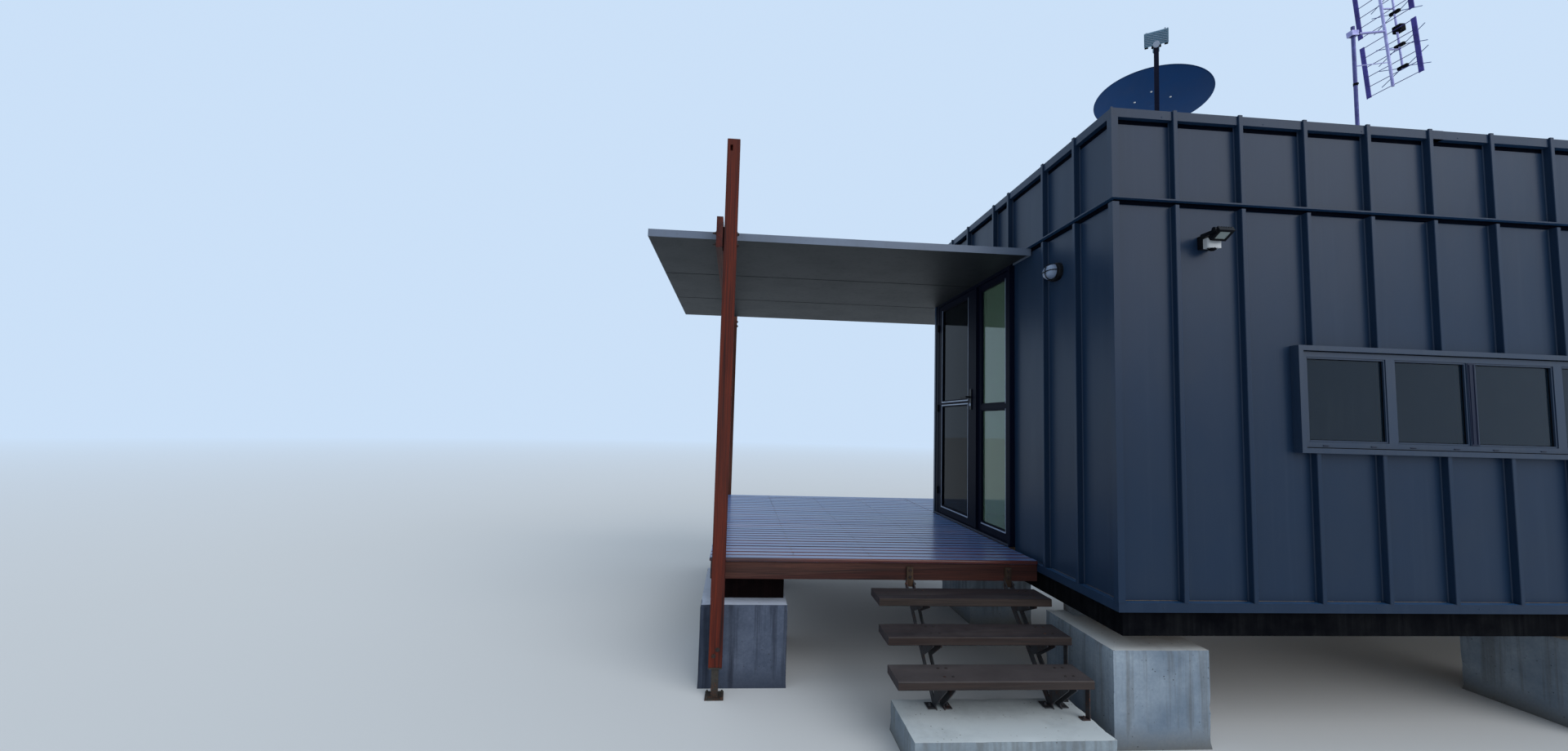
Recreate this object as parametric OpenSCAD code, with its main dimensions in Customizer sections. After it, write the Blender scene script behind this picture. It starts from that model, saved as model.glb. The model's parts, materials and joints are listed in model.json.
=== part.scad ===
// Flat-roofed steel-clad cabin on concrete piers, with a timber deck, canopy and open steps.
// Lengths are in millimetres. Working frame: x runs along the front wall from the door end,
// y runs from the front wall to the back, z runs up from the ground.

/* [Cabin] */
// length of the cabin over its ribs
cabin_l = 5970; // [5000:10:7000]
// width of the cabin over its ribs
cabin_w = 3000; // [2990:10:3010]
// height of the cabin walls with the parapet
cabin_h = 2795; // [2755:10:2905]
// ground to the underside of the walls
base_h = 770; // [740:10:800]
// thickness of the insulated walls
wall_t = 100; // [80:5:120]
// thickness of the floor platform
floor_t = 80; // [60:5:80]
// from the top of the cabin down to its ceiling
ceiling_drop = 330; // [280:10:430]
// thickness of the roof panel
roof_t = 100; // [60:5:120]

/* [Chassis] */
// height of the chassis beams
chassis_h = 140; // [100:5:160]
// setback of the chassis from the outside of the cabin
chassis_in = 60; // [40:5:90]
// width of the outer channels
channel_w = 60; // [40:5:80]
// width of the two main beams
main_beam_w = 120; // [80:5:140]
// front of the cabin to the nearer main beam
main_beam_at = 720; // [600:10:900]

/* [Cladding] */
// width of a standing rib
rib_w = 26; // [18:1:40]
// height of a standing rib above the sheet
rib_d = 40; // [25:1:50]
// bend radius, drawn as a chamfer, on a rib's outer edges
rib_fold = 2.5; // [1:0.5:4]
// how far a rib's foot flares on to the sheet
rib_foot = 4; // [2:1:6]
// thickness of the sheet with its backing
sheet_t = 6; // [3:1:10]
// corner to the centre of the first rib
first_rib = 385; // [300:5:450]
// aimed spacing of the ribs
rib_pitch = 400; // [300:10:500]
// height of the cladding band above the belt flashing
upper_band = 520; // [490:5:530]
// thickness of the belt flashing
belt_t = 8; // [4:1:12]
// shadow gap below the belt flashing
belt_gap = 23; // [15:1:30]
// height of the base flashing
strip_h = 50; // [40:1:60]
// setback of the base flashing
strip_back = 4; // [2:1:8]
// open joint above the base flashing
strip_joint = 4; // [2:1:8]
// height of the parapet capping
cap_h = 52; // [40:1:70]
// setback of the capping behind the ribs
cap_back = 10; // [8:1:20]
// overhang of the capping on the roof side
cap_lip = 10; // [5:1:20]
// slot under the capping
slot_h = 28; // [15:1:35]
// rise of the ribs above the capping
rib_rise = 4; // [0:1:20]
// wall thickness of the folded corner flashings
fold_t = 3; // [2:1:5]

/* [Window] */
// door end of the cabin to the window
window_at = 1074; // [1000:5:1500]
// underside of the wall to the window
window_low = 869; // [800:5:1000]
// height of the window over its surround
window_h = 603; // [500:5:700]
// width of the outer surround
surround_w = 28; // [20:1:40]
// projection of the surround beyond the ribs
surround_out = 12; // [5:1:20]
// width of the sash frame inside the surround
sash_w = 35; // [25:1:45]
// depth of the sash frame
sash_d = 56; // [50:1:70]
// width of the uprights between the panes
mullion_w = 54; // [40:1:70]
// thickness of all the glass
glass_t = 6; // [5:1:10]

/* [Door set] */
// width of the filler between the door set and the back cladding
corner_fill = 23; // [20:1:40]
// depth of the door frame
frame_d = 104; // [90:1:120]
// width of the jamb beside the fixed light
jamb_w = 50; // [40:1:60]
// width of the jamb on the hinge side
hinge_jamb_w = 65; // [50:1:66]
// width of the upright between fixed light and door
meeting_w = 40; // [30:1:50]
// height of the door sill
sill_h = 20; // [15:1:25]
// height of the frame's head
head_h = 58; // [50:1:70]
// width of the opening for the fixed light
light_w = 590; // [500:5:600]
// width of the opening for the door leaf
leaf_gap_w = 920; // [850:5:921]
// clearance round the door leaf
leaf_clear = 5; // [5:1:8]
// thickness of the door leaf and the fixed light
leaf_t = 40; // [35:1:45]
// projection of the stop behind the leaf
stop_w = 14; // [10:1:20]
// width of the leaf's stile at the lock
lock_stile_w = 140; // [100:5:150]
// width of the other stiles
stile_w = 62; // [50:1:80]
// height of the top rails
top_rail_h = 45; // [40:1:80]
// height of the bottom rails
bottom_rail_h = 66; // [50:1:120]
// height of the middle rails
mid_rail_h = 40; // [30:1:60]
// middle of the leaf's middle rail above the underside of the walls
leaf_rail_at = 1186; // [1000:1:1300]
// middle of the fixed light's middle rail above the underside of the walls
light_rail_at = 1132; // [1000:1:1300]
// radius of a hinge knuckle
knuckle_r = 8; // [6:1:9]
// length of half a hinge
knuckle_l = 36; // [30:1:50]
// thickness of a hinge plate
plate_t = 2; // [1.5:0.5:2]
// from each end of the leaf to the hinge near it
hinge_in = 180; // [120:10:300]
// height of the door handle above the underside of the walls
handle_at = 1225; // [1000:5:1300]

/* [Canopy] */
// how far the canopy runs past the end of the deck
canopy_over = 505; // [400:5:600]
// gap between the back of the cabin and the canopy's wing
canopy_gap = 10; // [6:1:40]
// width of one roof panel
panel_w = 1009.7; // [1004.7:1:1015.7]
// thickness of a roof panel
panel_t = 50; // [40:1:50]
// from the top of the cabin down to the underside of the canopy
canopy_drop = 584; // [579:1:589]
// reach of the last panel behind the cabin
wing_l = 450; // [300:10:600]
// thickness of the edge trim
trim_t = 4; // [2:1:6]
// thickness of the canopy bearer
bearer_t = 42; // [35:1:50]
// height of the bearer below the canopy
bearer_h = 120; // [90:5:140]
// rise of the bearer's ends above the underside of the canopy
bearer_rise = 87; // [60:1:100]
// gap between bearer and post, closed by packers
packer_t = 9; // [6:1:12]

/* [Posts] */
// side of a square post
post_w = 86; // [70:1:100]
// planed chamfer along the edges of posts and treads
arris = 4; // [2:1:6]
// from the end of the deck to the outer face of the posts
post_in = 21; // [10:1:100]
// how far the posts stand above the top of the cabin
post_rise = 40; // [-50:10:120]
// ground to the foot of the posts
shoe_h = 190; // [120:5:200]
// side of the square tube in a post shoe
shoe_w = 45; // [35:1:60]
// thickness of the shoe plates
shoe_t = 8; // [6:1:12]
// margin of the base plate round the post
shoe_lip = 15; // [10:1:20]

/* [Deck] */
// length of the deck beyond the cabin
deck_l = 2200; // [2190:5:2300]
// front of the cabin to the deck
deck_at = 845; // [840:5:880]
// how far the deck runs past the back of the cabin
deck_over = 1150; // [1100:10:1250]
// underside of the wall to the top of the deck
deck_top = 75; // [70:1:80]
// thickness of the deck boards
board_t = 25; // [20:1:32]
// height of the deck joists
joist_h = 113; // [90:1:120]
// thickness of the deck joists
joist_t = 45; // [35:1:50]
// number of joists between the edge beams
joist_count = 4; // [3:1:6]
// overhang of the boards beyond the edge beams
nosing = 20; // [10:1:30]

/* [Steps] */
// left end of the treads from the cabin
tread_far = 1169; // [1100:1:1300]
// right end of the treads from the cabin
tread_near = 104; // [90:1:120]
// thickness of a tread
tread_t = 45; // [35:1:50]
// depth of a tread
tread_d = 228; // [220:1:235]
// rise from tread to tread
rise = 150; // [140:1:155]
// going from tread to tread
going = 215; // [205:1:225]
// front of the cabin to the front of the top tread
top_tread_at = 485; // [470:1:500]
// slope of the stringer plates
stringer_lean = 41.4; // [40:0.1:42]
// front of the cabin to the foot of the stringer plates
stringer_foot = 235; // [225:5:245]
// thickness of a stringer plate
stringer_t = 6; // [4:1:8]
// upright height of a stringer plate
stringer_h = 60; // [50:1:80]
// width of the cleats on the edge beam
cleat_w = 40; // [30:1:50]
// places of the two cleats from the cabin
cleat_at = [208, 878];
// height of the cleats
cleat_h = 128; // [100:1:130]
// length of the step pad
pad_l = 1053; // [1000:1:1100]
// right end of the step pad from the cabin
pad_near = 73; // [60:1:100]
// depth of the step pad
pad_d = 470; // [400:5:500]
// front edge of the step pad before the front of the cabin
pad_out = 90; // [60:5:120]
// height of the step pad
pad_h = 170; // [150:5:180]

/* [Piers] */
// height of the concrete piers
pier_h = 530; // [500:5:560]
// length of a cabin pier
pier_l = 565; // [500:5:600]
// depth of a cabin pier
pier_d = 720; // [715:5:760]
// end of the cabin to the first pier
pier_in = 50; // [30:5:100]
// front of the cabin to the first pier
pier_back = 130; // [100:5:135]
// left side of the middle piers
mid_pier_at = 3080; // [2800:10:3200]
// length of a deck pier
deck_pier_l = 575; // [515:10:605]
// depth of a deck pier
deck_pier_d = 980; // [900:5:1000]
// how far the deck's piers stand out past the end of the deck
deck_pier_out = 50; // [20:5:60]
// front of the cabin to the first deck pier
deck_pier_back = 914; // [900:1:920]
// length of the steel stubs under the cabin
stub_l = 140; // [100:5:160]
// width of the timber stubs under the deck
deck_stub_w = 100; // [80:5:120]
// from a deck pier's edge to the stub on it
deck_stub_in = 150; // [100:10:200]

/* [Lights] */
// front light from the door end
flood_at = 536; // [500:5:600]
// from the top of the cabin down to the flood light
flood_drop = 750; // [680:5:880]
// reach of the front light before the ribs
flood_out = 130; // [110:5:160]
// width of the flood light's head
lamp_w = 90; // [80:2:110]
// length of the flood light's head
lamp_l = 80; // [70:2:90]
// thickness of the flood light's head
lamp_d = 28; // [24:1:30]
// how far the flood light's face leans down
lamp_tilt = 60; // [50:1:65]
// height of the motion sensor's body
sensor_h = 56; // [40:2:64]
// side light from the front of the cabin
bulkhead_at = 656; // [640:2:670]
// from the top of the cabin down to the side light
bulkhead_drop = 790; // [700:5:880]
// half distance between the side light's rounded ends
bulkhead_half = 22; // [16:1:28]
// radius of the side light's rounded ends
bulkhead_r = 58; // [50:1:66]

/* [Dish] */
// middle of the dish from the door end
dish_x = 1062; // [800:1:1300]
// middle of the dish from the front
dish_y = 1100; // [900:1:1300]
// height of the dish's middle above the top of the cabin
dish_over = 764; // [620:1:900]
// radius of the dish
dish_r = 400; // [350:5:450]
// depth of the dish
dish_deep = 80; // [60:5:100]
// thickness of the dish
dish_t = 3; // [2:1:5]
// turn of the dish to the door end
dish_turn = 36; // [20:1:50]
// lift of the dish's face
dish_lift = 31; // [25:1:40]
// side of the dish's arm
arm_w = 30; // [20:1:40]
// sideways step of the feed's arm from the middle of the dish
arm_side = 28; // [0:1:34]
// width of the feed housing
feed_w = 144; // [120:2:160]
// depth of the feed housing
feed_d = 100; // [80:2:120]
// height of the feed housing
feed_h = 86; // [70:2:100]
// number of cooling fins on the feed housing
feed_fins = 10; // [6:1:12]
// depth of the slots between the cooling fins
feed_fin_h = 10; // [6:1:16]
// radius of the dish's mast
dish_mast_r = 25; // [20:1:30]
// from the dish's middle back to its mast
dish_behind = 150; // [130:5:180]
// radius of the round plate under the dish's mast
dish_foot_r = 110; // [90:5:130]

/* [Antenna] */
// antenna mast from the door end
mast_x = 3130; // [2900:10:3300]
// antenna mast from the front
mast_y = 1400; // [1300:10:1600]
// height of the antenna mast above the top of the cabin
mast_over = 1706; // [1696:10:1796]
// radius of the mast
mast_r = 14; // [10:1:18]
// radius of the round plate under the antenna mast
mast_foot_r = 90; // [70:5:110]
// thickness of the round plates under the two masts
mast_foot_t = 8; // [6:1:12]
// lean of the antenna on its mast
antenna_lean = 5.7; // [0:0.1:6]
// mast to the reflector
reflector_at = 305; // [275:5:345]
// half width of the reflector
reflector_half = 205; // [180:5:240]
// height of one reflector panel
reflector_h = 470; // [400:5:500]
// gap between the two reflector panels
reflector_gap = 80; // [60:5:100]
// height of the antenna's middle above the top of the cabin
antenna_over = 1680; // [1660:5:1690]
// rods in one reflector panel
rod_count = 6; // [4:1:9]
// radius of a rod
rod_r = 3; // [2:0.5:4]
// reflector to the line of driven elements
feed_at = 110; // [90:5:130]
// half the length of the rod that carries the elements
feed_half = 360; // [355:5:450]
// radius of the rod that carries the elements
feed_rod_r = 8; // [6:1:10]
// radius of the antenna's boom
boom_r = 11; // [8:1:14]
// from the antenna's middle down to the foot of its clamp
clamp_low = 62; // [50:1:80]
// from the antenna's middle down to its stay
stay_low = 300; // [250:5:350]
// side reach of a driven element
element_reach = 190; // [180:5:230]

/* [Hidden] */
$fn = 48;
fit = 0.3;
skin = rib_d + sheet_t;
cabin_top = base_h + cabin_h;
belt_top = cabin_top - upper_band;
strip_top = base_h + strip_h;
belt_low = belt_top - belt_t;
rib_stop = belt_low - belt_gap;
cap_low = cabin_top - cap_h;
slot_low = cap_low - slot_h;
floor_top = base_h + floor_t;
roof_low = cabin_top - ceiling_drop;
roof_top = roof_low + roof_t;
inner = skin + wall_t;

panes = [487, 453, 505, 453, 487];
pane_total = panes[0] + panes[1] + panes[2] + panes[3] + panes[4];
panes_w = pane_total + 4 * mullion_w;
sash_in = surround_w + sash_w;
window_w = panes_w + 2 * sash_in;
window_z = base_h + window_low;
pane_low = window_z + sash_in;
pane_high = window_z + window_h - sash_in;

door_end = cabin_w - skin - corner_fill;
opening_end = door_end - hinge_jamb_w;
opening_y = opening_end - leaf_gap_w;
meeting_y = opening_y - meeting_w;
light_y = meeting_y - light_w;
door_at = light_y - jamb_w;
sill_top = floor_top + sill_h;
head_low = rib_stop - head_h;
leaf_y = opening_y + leaf_clear;
leaf_end = opening_end - leaf_clear;
leaf_low = sill_top + leaf_clear;
leaf_high = head_low - leaf_clear;
leaf_x = 3;
leaf_back = leaf_x + leaf_t;
pivot_x = leaf_x - knuckle_r - 3;
pivot_y = opening_end - leaf_clear / 2;
hinge_places = [
  leaf_low + hinge_in,
  (leaf_low + leaf_high) / 2 - knuckle_l,
  leaf_high - hinge_in - 2 * knuckle_l
];

canopy_z = cabin_top - canopy_drop;
canopy_l = deck_l + canopy_over;
canopy_at = cabin_w + canopy_gap - 2 * (panel_w + fit);
deck_d = cabin_w + deck_over - deck_at;
post_at = deck_l - post_in - post_w;
deck_pier_at = deck_l + deck_pier_out - deck_pier_l;
canopy_top = canopy_z + panel_t;
canopy_end = canopy_at + 3 * panel_w + 2 * fit;
bearer_x = -post_at - post_w - packer_t;
bearer_low = canopy_z - bearer_h;
rear_post_y = deck_at + deck_d;
post_y = deck_at - post_w;
post_bottom = shoe_h;
rear_reach = rear_post_y + post_w;

deck_z = base_h + deck_top;
board_low = deck_z - board_t;
joist_low = board_low - joist_h;
deck_end = deck_at + deck_d;
beam_front = deck_at + nosing;
beam_back = deck_end - nosing;
joist_front = beam_front + joist_t;
joist_back = beam_back - joist_t;
rim_x = -deck_l + nosing / 2;
wing_front = cabin_w + 5;
cleat_top = board_low - 22;

left_reach = canopy_l + trim_t;
mid_x = (cabin_l - left_reach) / 2;
mid_y = (rear_reach + shoe_lip - flood_out) / 2;

module block(x, y, z) {
  translate([x[0], y[0], z[0]])
    cube([x[1] - x[0], y[1] - y[0], z[1] - z[0]]);
}

module rod(a, b, r) {
  d = b - a;
  l = norm(d);
  translate(a)
    rotate([0, acos(d[2] / l), atan2(d[1], d[0])])
      cylinder(h = l, r = r);
}

function side(a, b) = [a[1] - b[1], b[0] - a[0]] / norm(b - a);
function corner(a, b, c) = (side(a, b) + side(b, c)) / (1 + side(a, b) * side(b, c));
module bent_bar(a, b, c, w) {
  polygon([
    a + side(a, b) * w / 2, b + corner(a, b, c) * w / 2, c + side(b, c) * w / 2,
    c - side(b, c) * w / 2, b - corner(a, b, c) * w / 2, a - side(a, b) * w / 2
  ]);
}

module on_back() {
  translate([0, cabin_w, 0])
    mirror([0, 1, 0])
      children();
}

module on_door_end() {
  mirror([1, -1, 0])
    children();
}

module on_right_end() {
  translate([cabin_l, 0, 0])
    mirror([1, 0, 0])
      mirror([1, -1, 0])
        children();
}

module placed() {
  translate([-mid_x, -mid_y, 0])
    children();
}

// chassis, floor and walls

module base_frame() {
  x = [chassis_in, cabin_l - chassis_in];
  z = [base_h - chassis_h, base_h];
  lines = [
    [chassis_in, chassis_in + channel_w],
    [main_beam_at, main_beam_at + main_beam_w],
    [cabin_w - main_beam_at - main_beam_w, cabin_w - main_beam_at],
    [cabin_w - chassis_in - channel_w, cabin_w - chassis_in]
  ];
  color("#15171a")
    placed() {
      for (y = lines)
        block(x, y, z);
      for (i = [0 : 2]) {
        between = [lines[i][1] + fit, lines[i + 1][0] - fit];
        block([x[0], x[0] + channel_w], between, z);
        block([x[1] - channel_w, x[1]], between, z);
      }
    }
}

module cabin_floor() {
  color("#8a8478")
    placed()
      block([skin, cabin_l - skin], [skin, cabin_w - skin], [base_h, floor_top]);
}

module front_wall() {
  hole = surround_w;
  color("#d8d6cf")
    placed()
      difference() {
        block([skin, cabin_l - skin], [skin, inner], [floor_top, cap_low]);
        block(
          [window_at + hole, window_at + window_w - hole],
          [0, cabin_w / 2],
          [window_z + hole, window_z + window_h - hole]
        );
      }
}

module back_wall() {
  color("#d8d6cf")
    placed()
      block([frame_d + fit, cabin_l - skin], [cabin_w - inner, cabin_w - skin], [floor_top, cap_low]);
}

module right_end_wall() {
  color("#d8d6cf")
    placed()
      block([cabin_l - inner, cabin_l - skin], [inner, cabin_w - inner], [floor_top, cap_low]);
}

module door_wall_front() {
  color("#d8d6cf")
    placed()
      block([skin, inner], [inner, door_at], [floor_top, cap_low]);
}

module door_wall_head() {
  color("#d8d6cf")
    placed() {
      block([skin, inner], [door_at, cabin_w - inner - fit], [rib_stop, cap_low]);
      block([skin, frame_d], [cabin_w - inner, cabin_w - skin], [rib_stop, cap_low]);
    }
}

module door_corner_post() {
  color("#2b333d")
    placed()
      block([skin, frame_d], [door_end, cabin_w - skin], [floor_top, rib_stop]);
}

module roof_deck() {
  color("#9aa0a3")
    placed()
      block([inner, cabin_l - inner], [inner, cabin_w - inner], [roof_low, roof_top]);
}

// standing-rib cladding and flashings

function even_ribs(length) =
  let (count = round((length - 2 * first_rib) / rib_pitch))
  [for (i = [0 : count]) first_rib + i * (length - 2 * first_rib) / count];

end_ribs = [390, 775, 1300, 1570, 2120, 2520];
low_end_ribs = [for (y = end_ribs) if (y < door_at - rib_w) y];

function rib_root(depth) =
  depth < rib_d ? [[rib_w / 2, depth]] :
  depth > rib_d ? [
    [rib_w / 2, rib_d - rib_foot],
    [rib_w / 2 + rib_foot, rib_d],
    [rib_w / 2 + rib_foot, depth]
  ] : [
    [rib_w / 2, rib_d - rib_foot],
    [rib_w / 2 + rib_foot, rib_d]
  ];

module rib_profile(depth) {
  half = concat([[rib_w / 2 - rib_fold, 0], [rib_w / 2, rib_fold]], rib_root(depth));
  polygon(concat(half, [for (i = [len(half) - 1 : -1 : 0]) [-half[i][0], half[i][1]]]));
}

module ribs(places, z, depth) {
  translate([0, 0, z[0]])
    linear_extrude(z[1] - z[0])
      for (p = places)
        translate([p, 0])
          rib_profile(depth);
}

module low_cladding(length, margin, places) {
  block([margin, length - margin], [rib_d, skin], [strip_top + strip_joint, belt_low]);
  ribs(places, [strip_top, rib_stop], skin);
}

module high_cladding(length, margin, places) {
  block([margin, length - margin], [rib_d, skin], [belt_top, slot_low]);
  ribs(places, [belt_top, cap_low - fit], rib_d);
  ribs(places, [belt_top, cabin_top + rib_rise], cap_back - fit);
}

module front_cladding() {
  color("#3a4453")
    placed() {
      difference() {
        low_cladding(cabin_l, rib_d, even_ribs(cabin_l));
        block(
          [window_at - fit, window_at + window_w + fit],
          [-1, skin + 1],
          [window_z - fit, window_z + window_h + fit]
        );
      }
      high_cladding(cabin_l, rib_d, even_ribs(cabin_l));
    }
}

module back_cladding() {
  color("#3a4453")
    placed()
      on_back() {
        low_cladding(cabin_l, rib_d, even_ribs(cabin_l));
        high_cladding(cabin_l, rib_d, even_ribs(cabin_l));
      }
}

module door_end_cladding() {
  color("#1d2f4c")
    placed()
      on_door_end() {
        difference() {
          low_cladding(cabin_w, skin + fit, low_end_ribs);
          block([door_at, door_end], [-1, skin + 1], [base_h, rib_stop]);
        }
        high_cladding(cabin_w, skin + fit, end_ribs);
      }
}

module right_end_cladding() {
  color("#3a4453")
    placed()
      on_right_end() {
        low_cladding(cabin_w, skin + fit, even_ribs(cabin_w));
        high_cladding(cabin_w, skin + fit, even_ribs(cabin_w));
      }
}

module ring(out, back, z) {
  for (y = [[out, back], [cabin_w - back, cabin_w - out]])
    block([out, cabin_l - out], y, z);
  for (x = [[out, back], [cabin_l - back, cabin_l - out]])
    block(x, [back + fit, cabin_w - back - fit], z);
}

module belt_flashing() {
  color("#4a5564")
    placed()
      ring(0, skin, [belt_low, belt_top]);
}

module shadow_strips() {
  color("#0a1020")
    placed() {
      ring(rib_d - 10, rib_d - fit, [rib_stop, belt_low]);
      ring(rib_d + 2, skin, [slot_low, cap_low]);
    }
}

module base_flashing() {
  color("#37424f")
    placed()
      ring(strip_back, skin, [base_h, strip_top]);
}

module parapet_capping() {
  color("#4c586a")
    placed()
      ring(cap_back, inner + cap_lip, [cap_low, cabin_top]);
}

module fold(side, z) {
  translate([0, 0, z[0]])
    linear_extrude(z[1] - z[0])
      difference() {
        square(side);
        translate([fold_t, fold_t])
          square(side - 2 * fold_t);
      }
}

module corner_fold() {
  fold(rib_d, [strip_top, rib_stop]);
  fold(rib_d, [belt_top, cap_low - fit]);
  fold(cap_back - fit, [cap_low - fit, cabin_top]);
}

module corner_flashings() {
  color("#45505e")
    placed()
      for (flip_x = [0, 1])
        for (flip_y = [0, 1])
          translate([flip_x * cabin_l, flip_y * cabin_w, 0])
            mirror([flip_x, 0, 0])
              mirror([0, flip_y, 0])
                corner_fold();
}

// window

module frame_ring(x, y, z, side) {
  difference() {
    block(x, y, z);
    block([x[0] + side, x[1] - side], [y[0] - 1, y[1] + 1], [z[0] + side, z[1] - side]);
  }
}

function pane_start(i) =
  i == 0 ? window_at + sash_in : pane_start(i - 1) + panes[i - 1] + mullion_w;

module window_surround() {
  color("#59636f")
    placed()
      frame_ring(
        [window_at, window_at + window_w],
        [-surround_out, skin],
        [window_z, window_z + window_h],
        surround_w
      );
}

module window_sash() {
  edge = surround_w + fit;
  y = [fit + 8, fit + 8 + sash_d];
  color("#39424c")
    placed() {
      frame_ring(
        [window_at + edge, window_at + window_w - edge],
        y,
        [window_z + edge, window_z + window_h - edge],
        sash_w - fit
      );
      for (i = [0 : 3])
        block([pane_start(i) + panes[i], pane_start(i + 1)], y, [pane_low, pane_high]);
    }
}

module window_glass() {
  y = [26, 26 + glass_t];
  color("#1c2a2c")
    placed()
      for (i = [0 : 4])
        block(
          [pane_start(i) + fit, pane_start(i) + panes[i] - fit],
          y,
          [pane_low + fit, pane_high - fit]
        );
}

// door set

module door_frame() {
  uprights = [
    [door_at, light_y],
    [meeting_y, opening_y],
    [opening_end, door_end]
  ];
  color("#1b2430")
    placed() {
      for (y = uprights)
        block([0, frame_d], y, [floor_top, rib_stop]);
      block([0, frame_d], [door_at, door_end], [floor_top, sill_top]);
      block([0, frame_d], [door_at, door_end], [head_low, rib_stop]);
      difference() {
        block([leaf_back + leaf_clear, frame_d], [meeting_y, door_end], [floor_top, rib_stop]);
        block(
          [0, frame_d + 1],
          [opening_y + stop_w, opening_end - stop_w],
          [sill_top, head_low - stop_w]
        );
      }
    }
}

module glazed_panel(y, z, near_w, far_w, rail_at, x) {
  rail = base_h + rail_at;
  difference() {
    block([x, x + leaf_t], y, z);
    for (open = [
      [z[0] + bottom_rail_h, rail - mid_rail_h / 2],
      [rail + mid_rail_h / 2, z[1] - top_rail_h]
    ])
      block([x - 1, x + leaf_t + 1], [y[0] + near_w, y[1] - far_w], open);
  }
}

module panel_glass(y, z, near_w, far_w, rail_at, x) {
  rail = base_h + rail_at;
  middle = x + leaf_t / 2;
  for (open = [
    [z[0] + bottom_rail_h + fit, rail - mid_rail_h / 2 - fit],
    [rail + mid_rail_h / 2 + fit, z[1] - top_rail_h - fit]
  ])
    block(
      [middle - glass_t / 2, middle + glass_t / 2],
      [y[0] + near_w + fit, y[1] - far_w - fit],
      open
    );
}

light_x = 20;
light_span = [light_y + fit, meeting_y - fit];
light_rise = [sill_top + fit, head_low - fit];

module fixed_light_frame() {
  color("#1b2430")
    placed()
      glazed_panel(light_span, light_rise, stile_w, stile_w, light_rail_at, light_x);
}

module fixed_light_glass() {
  color("#25333c")
    placed()
      panel_glass(light_span, light_rise, stile_w, stile_w, light_rail_at, light_x);
}

leaf_span = [leaf_y, leaf_end];
leaf_rise = [leaf_low, leaf_high];

module door_leaf() {
  color("#1b2430")
    placed()
      glazed_panel(leaf_span, leaf_rise, lock_stile_w, stile_w + 18, leaf_rail_at, leaf_x);
}

module door_leaf_glass() {
  color("#25333c")
    placed()
      panel_glass(leaf_span, leaf_rise, lock_stile_w, stile_w + 18, leaf_rail_at, leaf_x);
}

module lever(face, out) {
  y = leaf_y + lock_stile_w / 2;
  z = base_h + handle_at;
  block([min(face, face + out * 8), max(face, face + out * 8)], [y - 20, y + 20], [z - 110, z + 70]);
  rod([face, y, z], [face + out * 50, y, z], 9);
  rod([face + out * 45, y - 8, z], [face + out * 45, y + 112, z], 8);
}

module door_handle() {
  color("#0d1015")
    placed() {
      lever(leaf_x, -1);
      lever(leaf_back, 1);
    }
}

module knuckle(z, plate_y) {
  translate([pivot_x, pivot_y, z])
    cylinder(h = knuckle_l, r = knuckle_r);
  block([pivot_x, leaf_back - 6], plate_y, [z, z + knuckle_l]);
}

module frame_hinges() {
  color("#11161d")
    placed()
      for (z = hinge_places)
        knuckle(z, [opening_end - plate_t, opening_end]);
}

module leaf_hinges() {
  color("#11161d")
    placed()
      for (z = hinge_places)
        knuckle(z + knuckle_l + fit, [leaf_end, leaf_end + plate_t]);
}

// canopy and posts

function panel_start(i) = canopy_at + i * (panel_w + fit);

module canopy_panels() {
  color("#8d918f")
    placed()
      for (i = [0 : 2])
        block(
          [-canopy_l, i == 2 ? wing_l : -fit],
          [panel_start(i), panel_start(i) + panel_w],
          [canopy_z, canopy_top]
        );
}

module canopy_trim() {
  z = [canopy_z + fit, canopy_top + 2];
  left = -canopy_l - trim_t;
  color("#a9adac")
    placed() {
      block([left, -fit], [canopy_at - trim_t, canopy_at - fit], z);
      block([left, -canopy_l - fit], [canopy_at, canopy_end - fit], z);
      block([left, wing_l + trim_t], [canopy_end + fit, canopy_end + trim_t], z);
      block([wing_l + fit, wing_l + trim_t], [panel_start(2), canopy_end - fit], z);
    }
}

module canopy_bearer() {
  x = [bearer_x - bearer_t, bearer_x];
  high = canopy_z + bearer_rise;
  color("#4a2217")
    placed() {
      block(x, [post_y, rear_reach], [bearer_low, canopy_z]);
      block(x, [post_y, canopy_at - trim_t - 5], [bearer_low, high]);
      block(x, [canopy_end + trim_t + 5, rear_reach], [bearer_low, high]);
    }
}

module bearer_packers() {
  color("#3a1c14")
    placed()
      for (y = [post_y, rear_post_y])
        block([bearer_x, bearer_x + packer_t], [y, y + post_w], [bearer_low, canopy_z + 18]);
}

module planed(w, h) {
  polygon([
    [arris, 0], [w - arris, 0], [w, arris], [w, h - arris],
    [w - arris, h], [arris, h], [0, h - arris], [0, arris]
  ]);
}

module post(y) {
  translate([-post_at - post_w, y, post_bottom])
    linear_extrude(cabin_top + post_rise - post_bottom)
      planed(post_w, post_w);
}

module canopy_posts() {
  color("#6a2c1c")
    placed() {
      post(post_y);
      post(rear_post_y);
    }
}

module post_shoes() {
  x = -post_at - post_w / 2;
  half = post_w / 2;
  tube = shoe_w / 2;
  color("#3b3f42")
    placed()
      for (y = [post_y + half, rear_post_y + half]) {
        block([x - half, x + half], [y - half, y + half], [post_bottom - shoe_t, post_bottom]);
        block([x - tube, x + tube], [y - tube, y + tube], [0, post_bottom - shoe_t]);
        block(
          [x - half - shoe_lip, x + half + shoe_lip],
          [y - half - shoe_lip, y + half + shoe_lip],
          [0, shoe_t]
        );
      }
}

// deck

module deck_boards() {
  color("#7b3b2a")
    placed() {
      block([-deck_l, -fit], [deck_at + fit, deck_end - fit], [board_low, deck_z]);
      block([-fit, wing_l], [wing_front, deck_end - fit], [board_low, deck_z]);
    }
}

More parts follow.
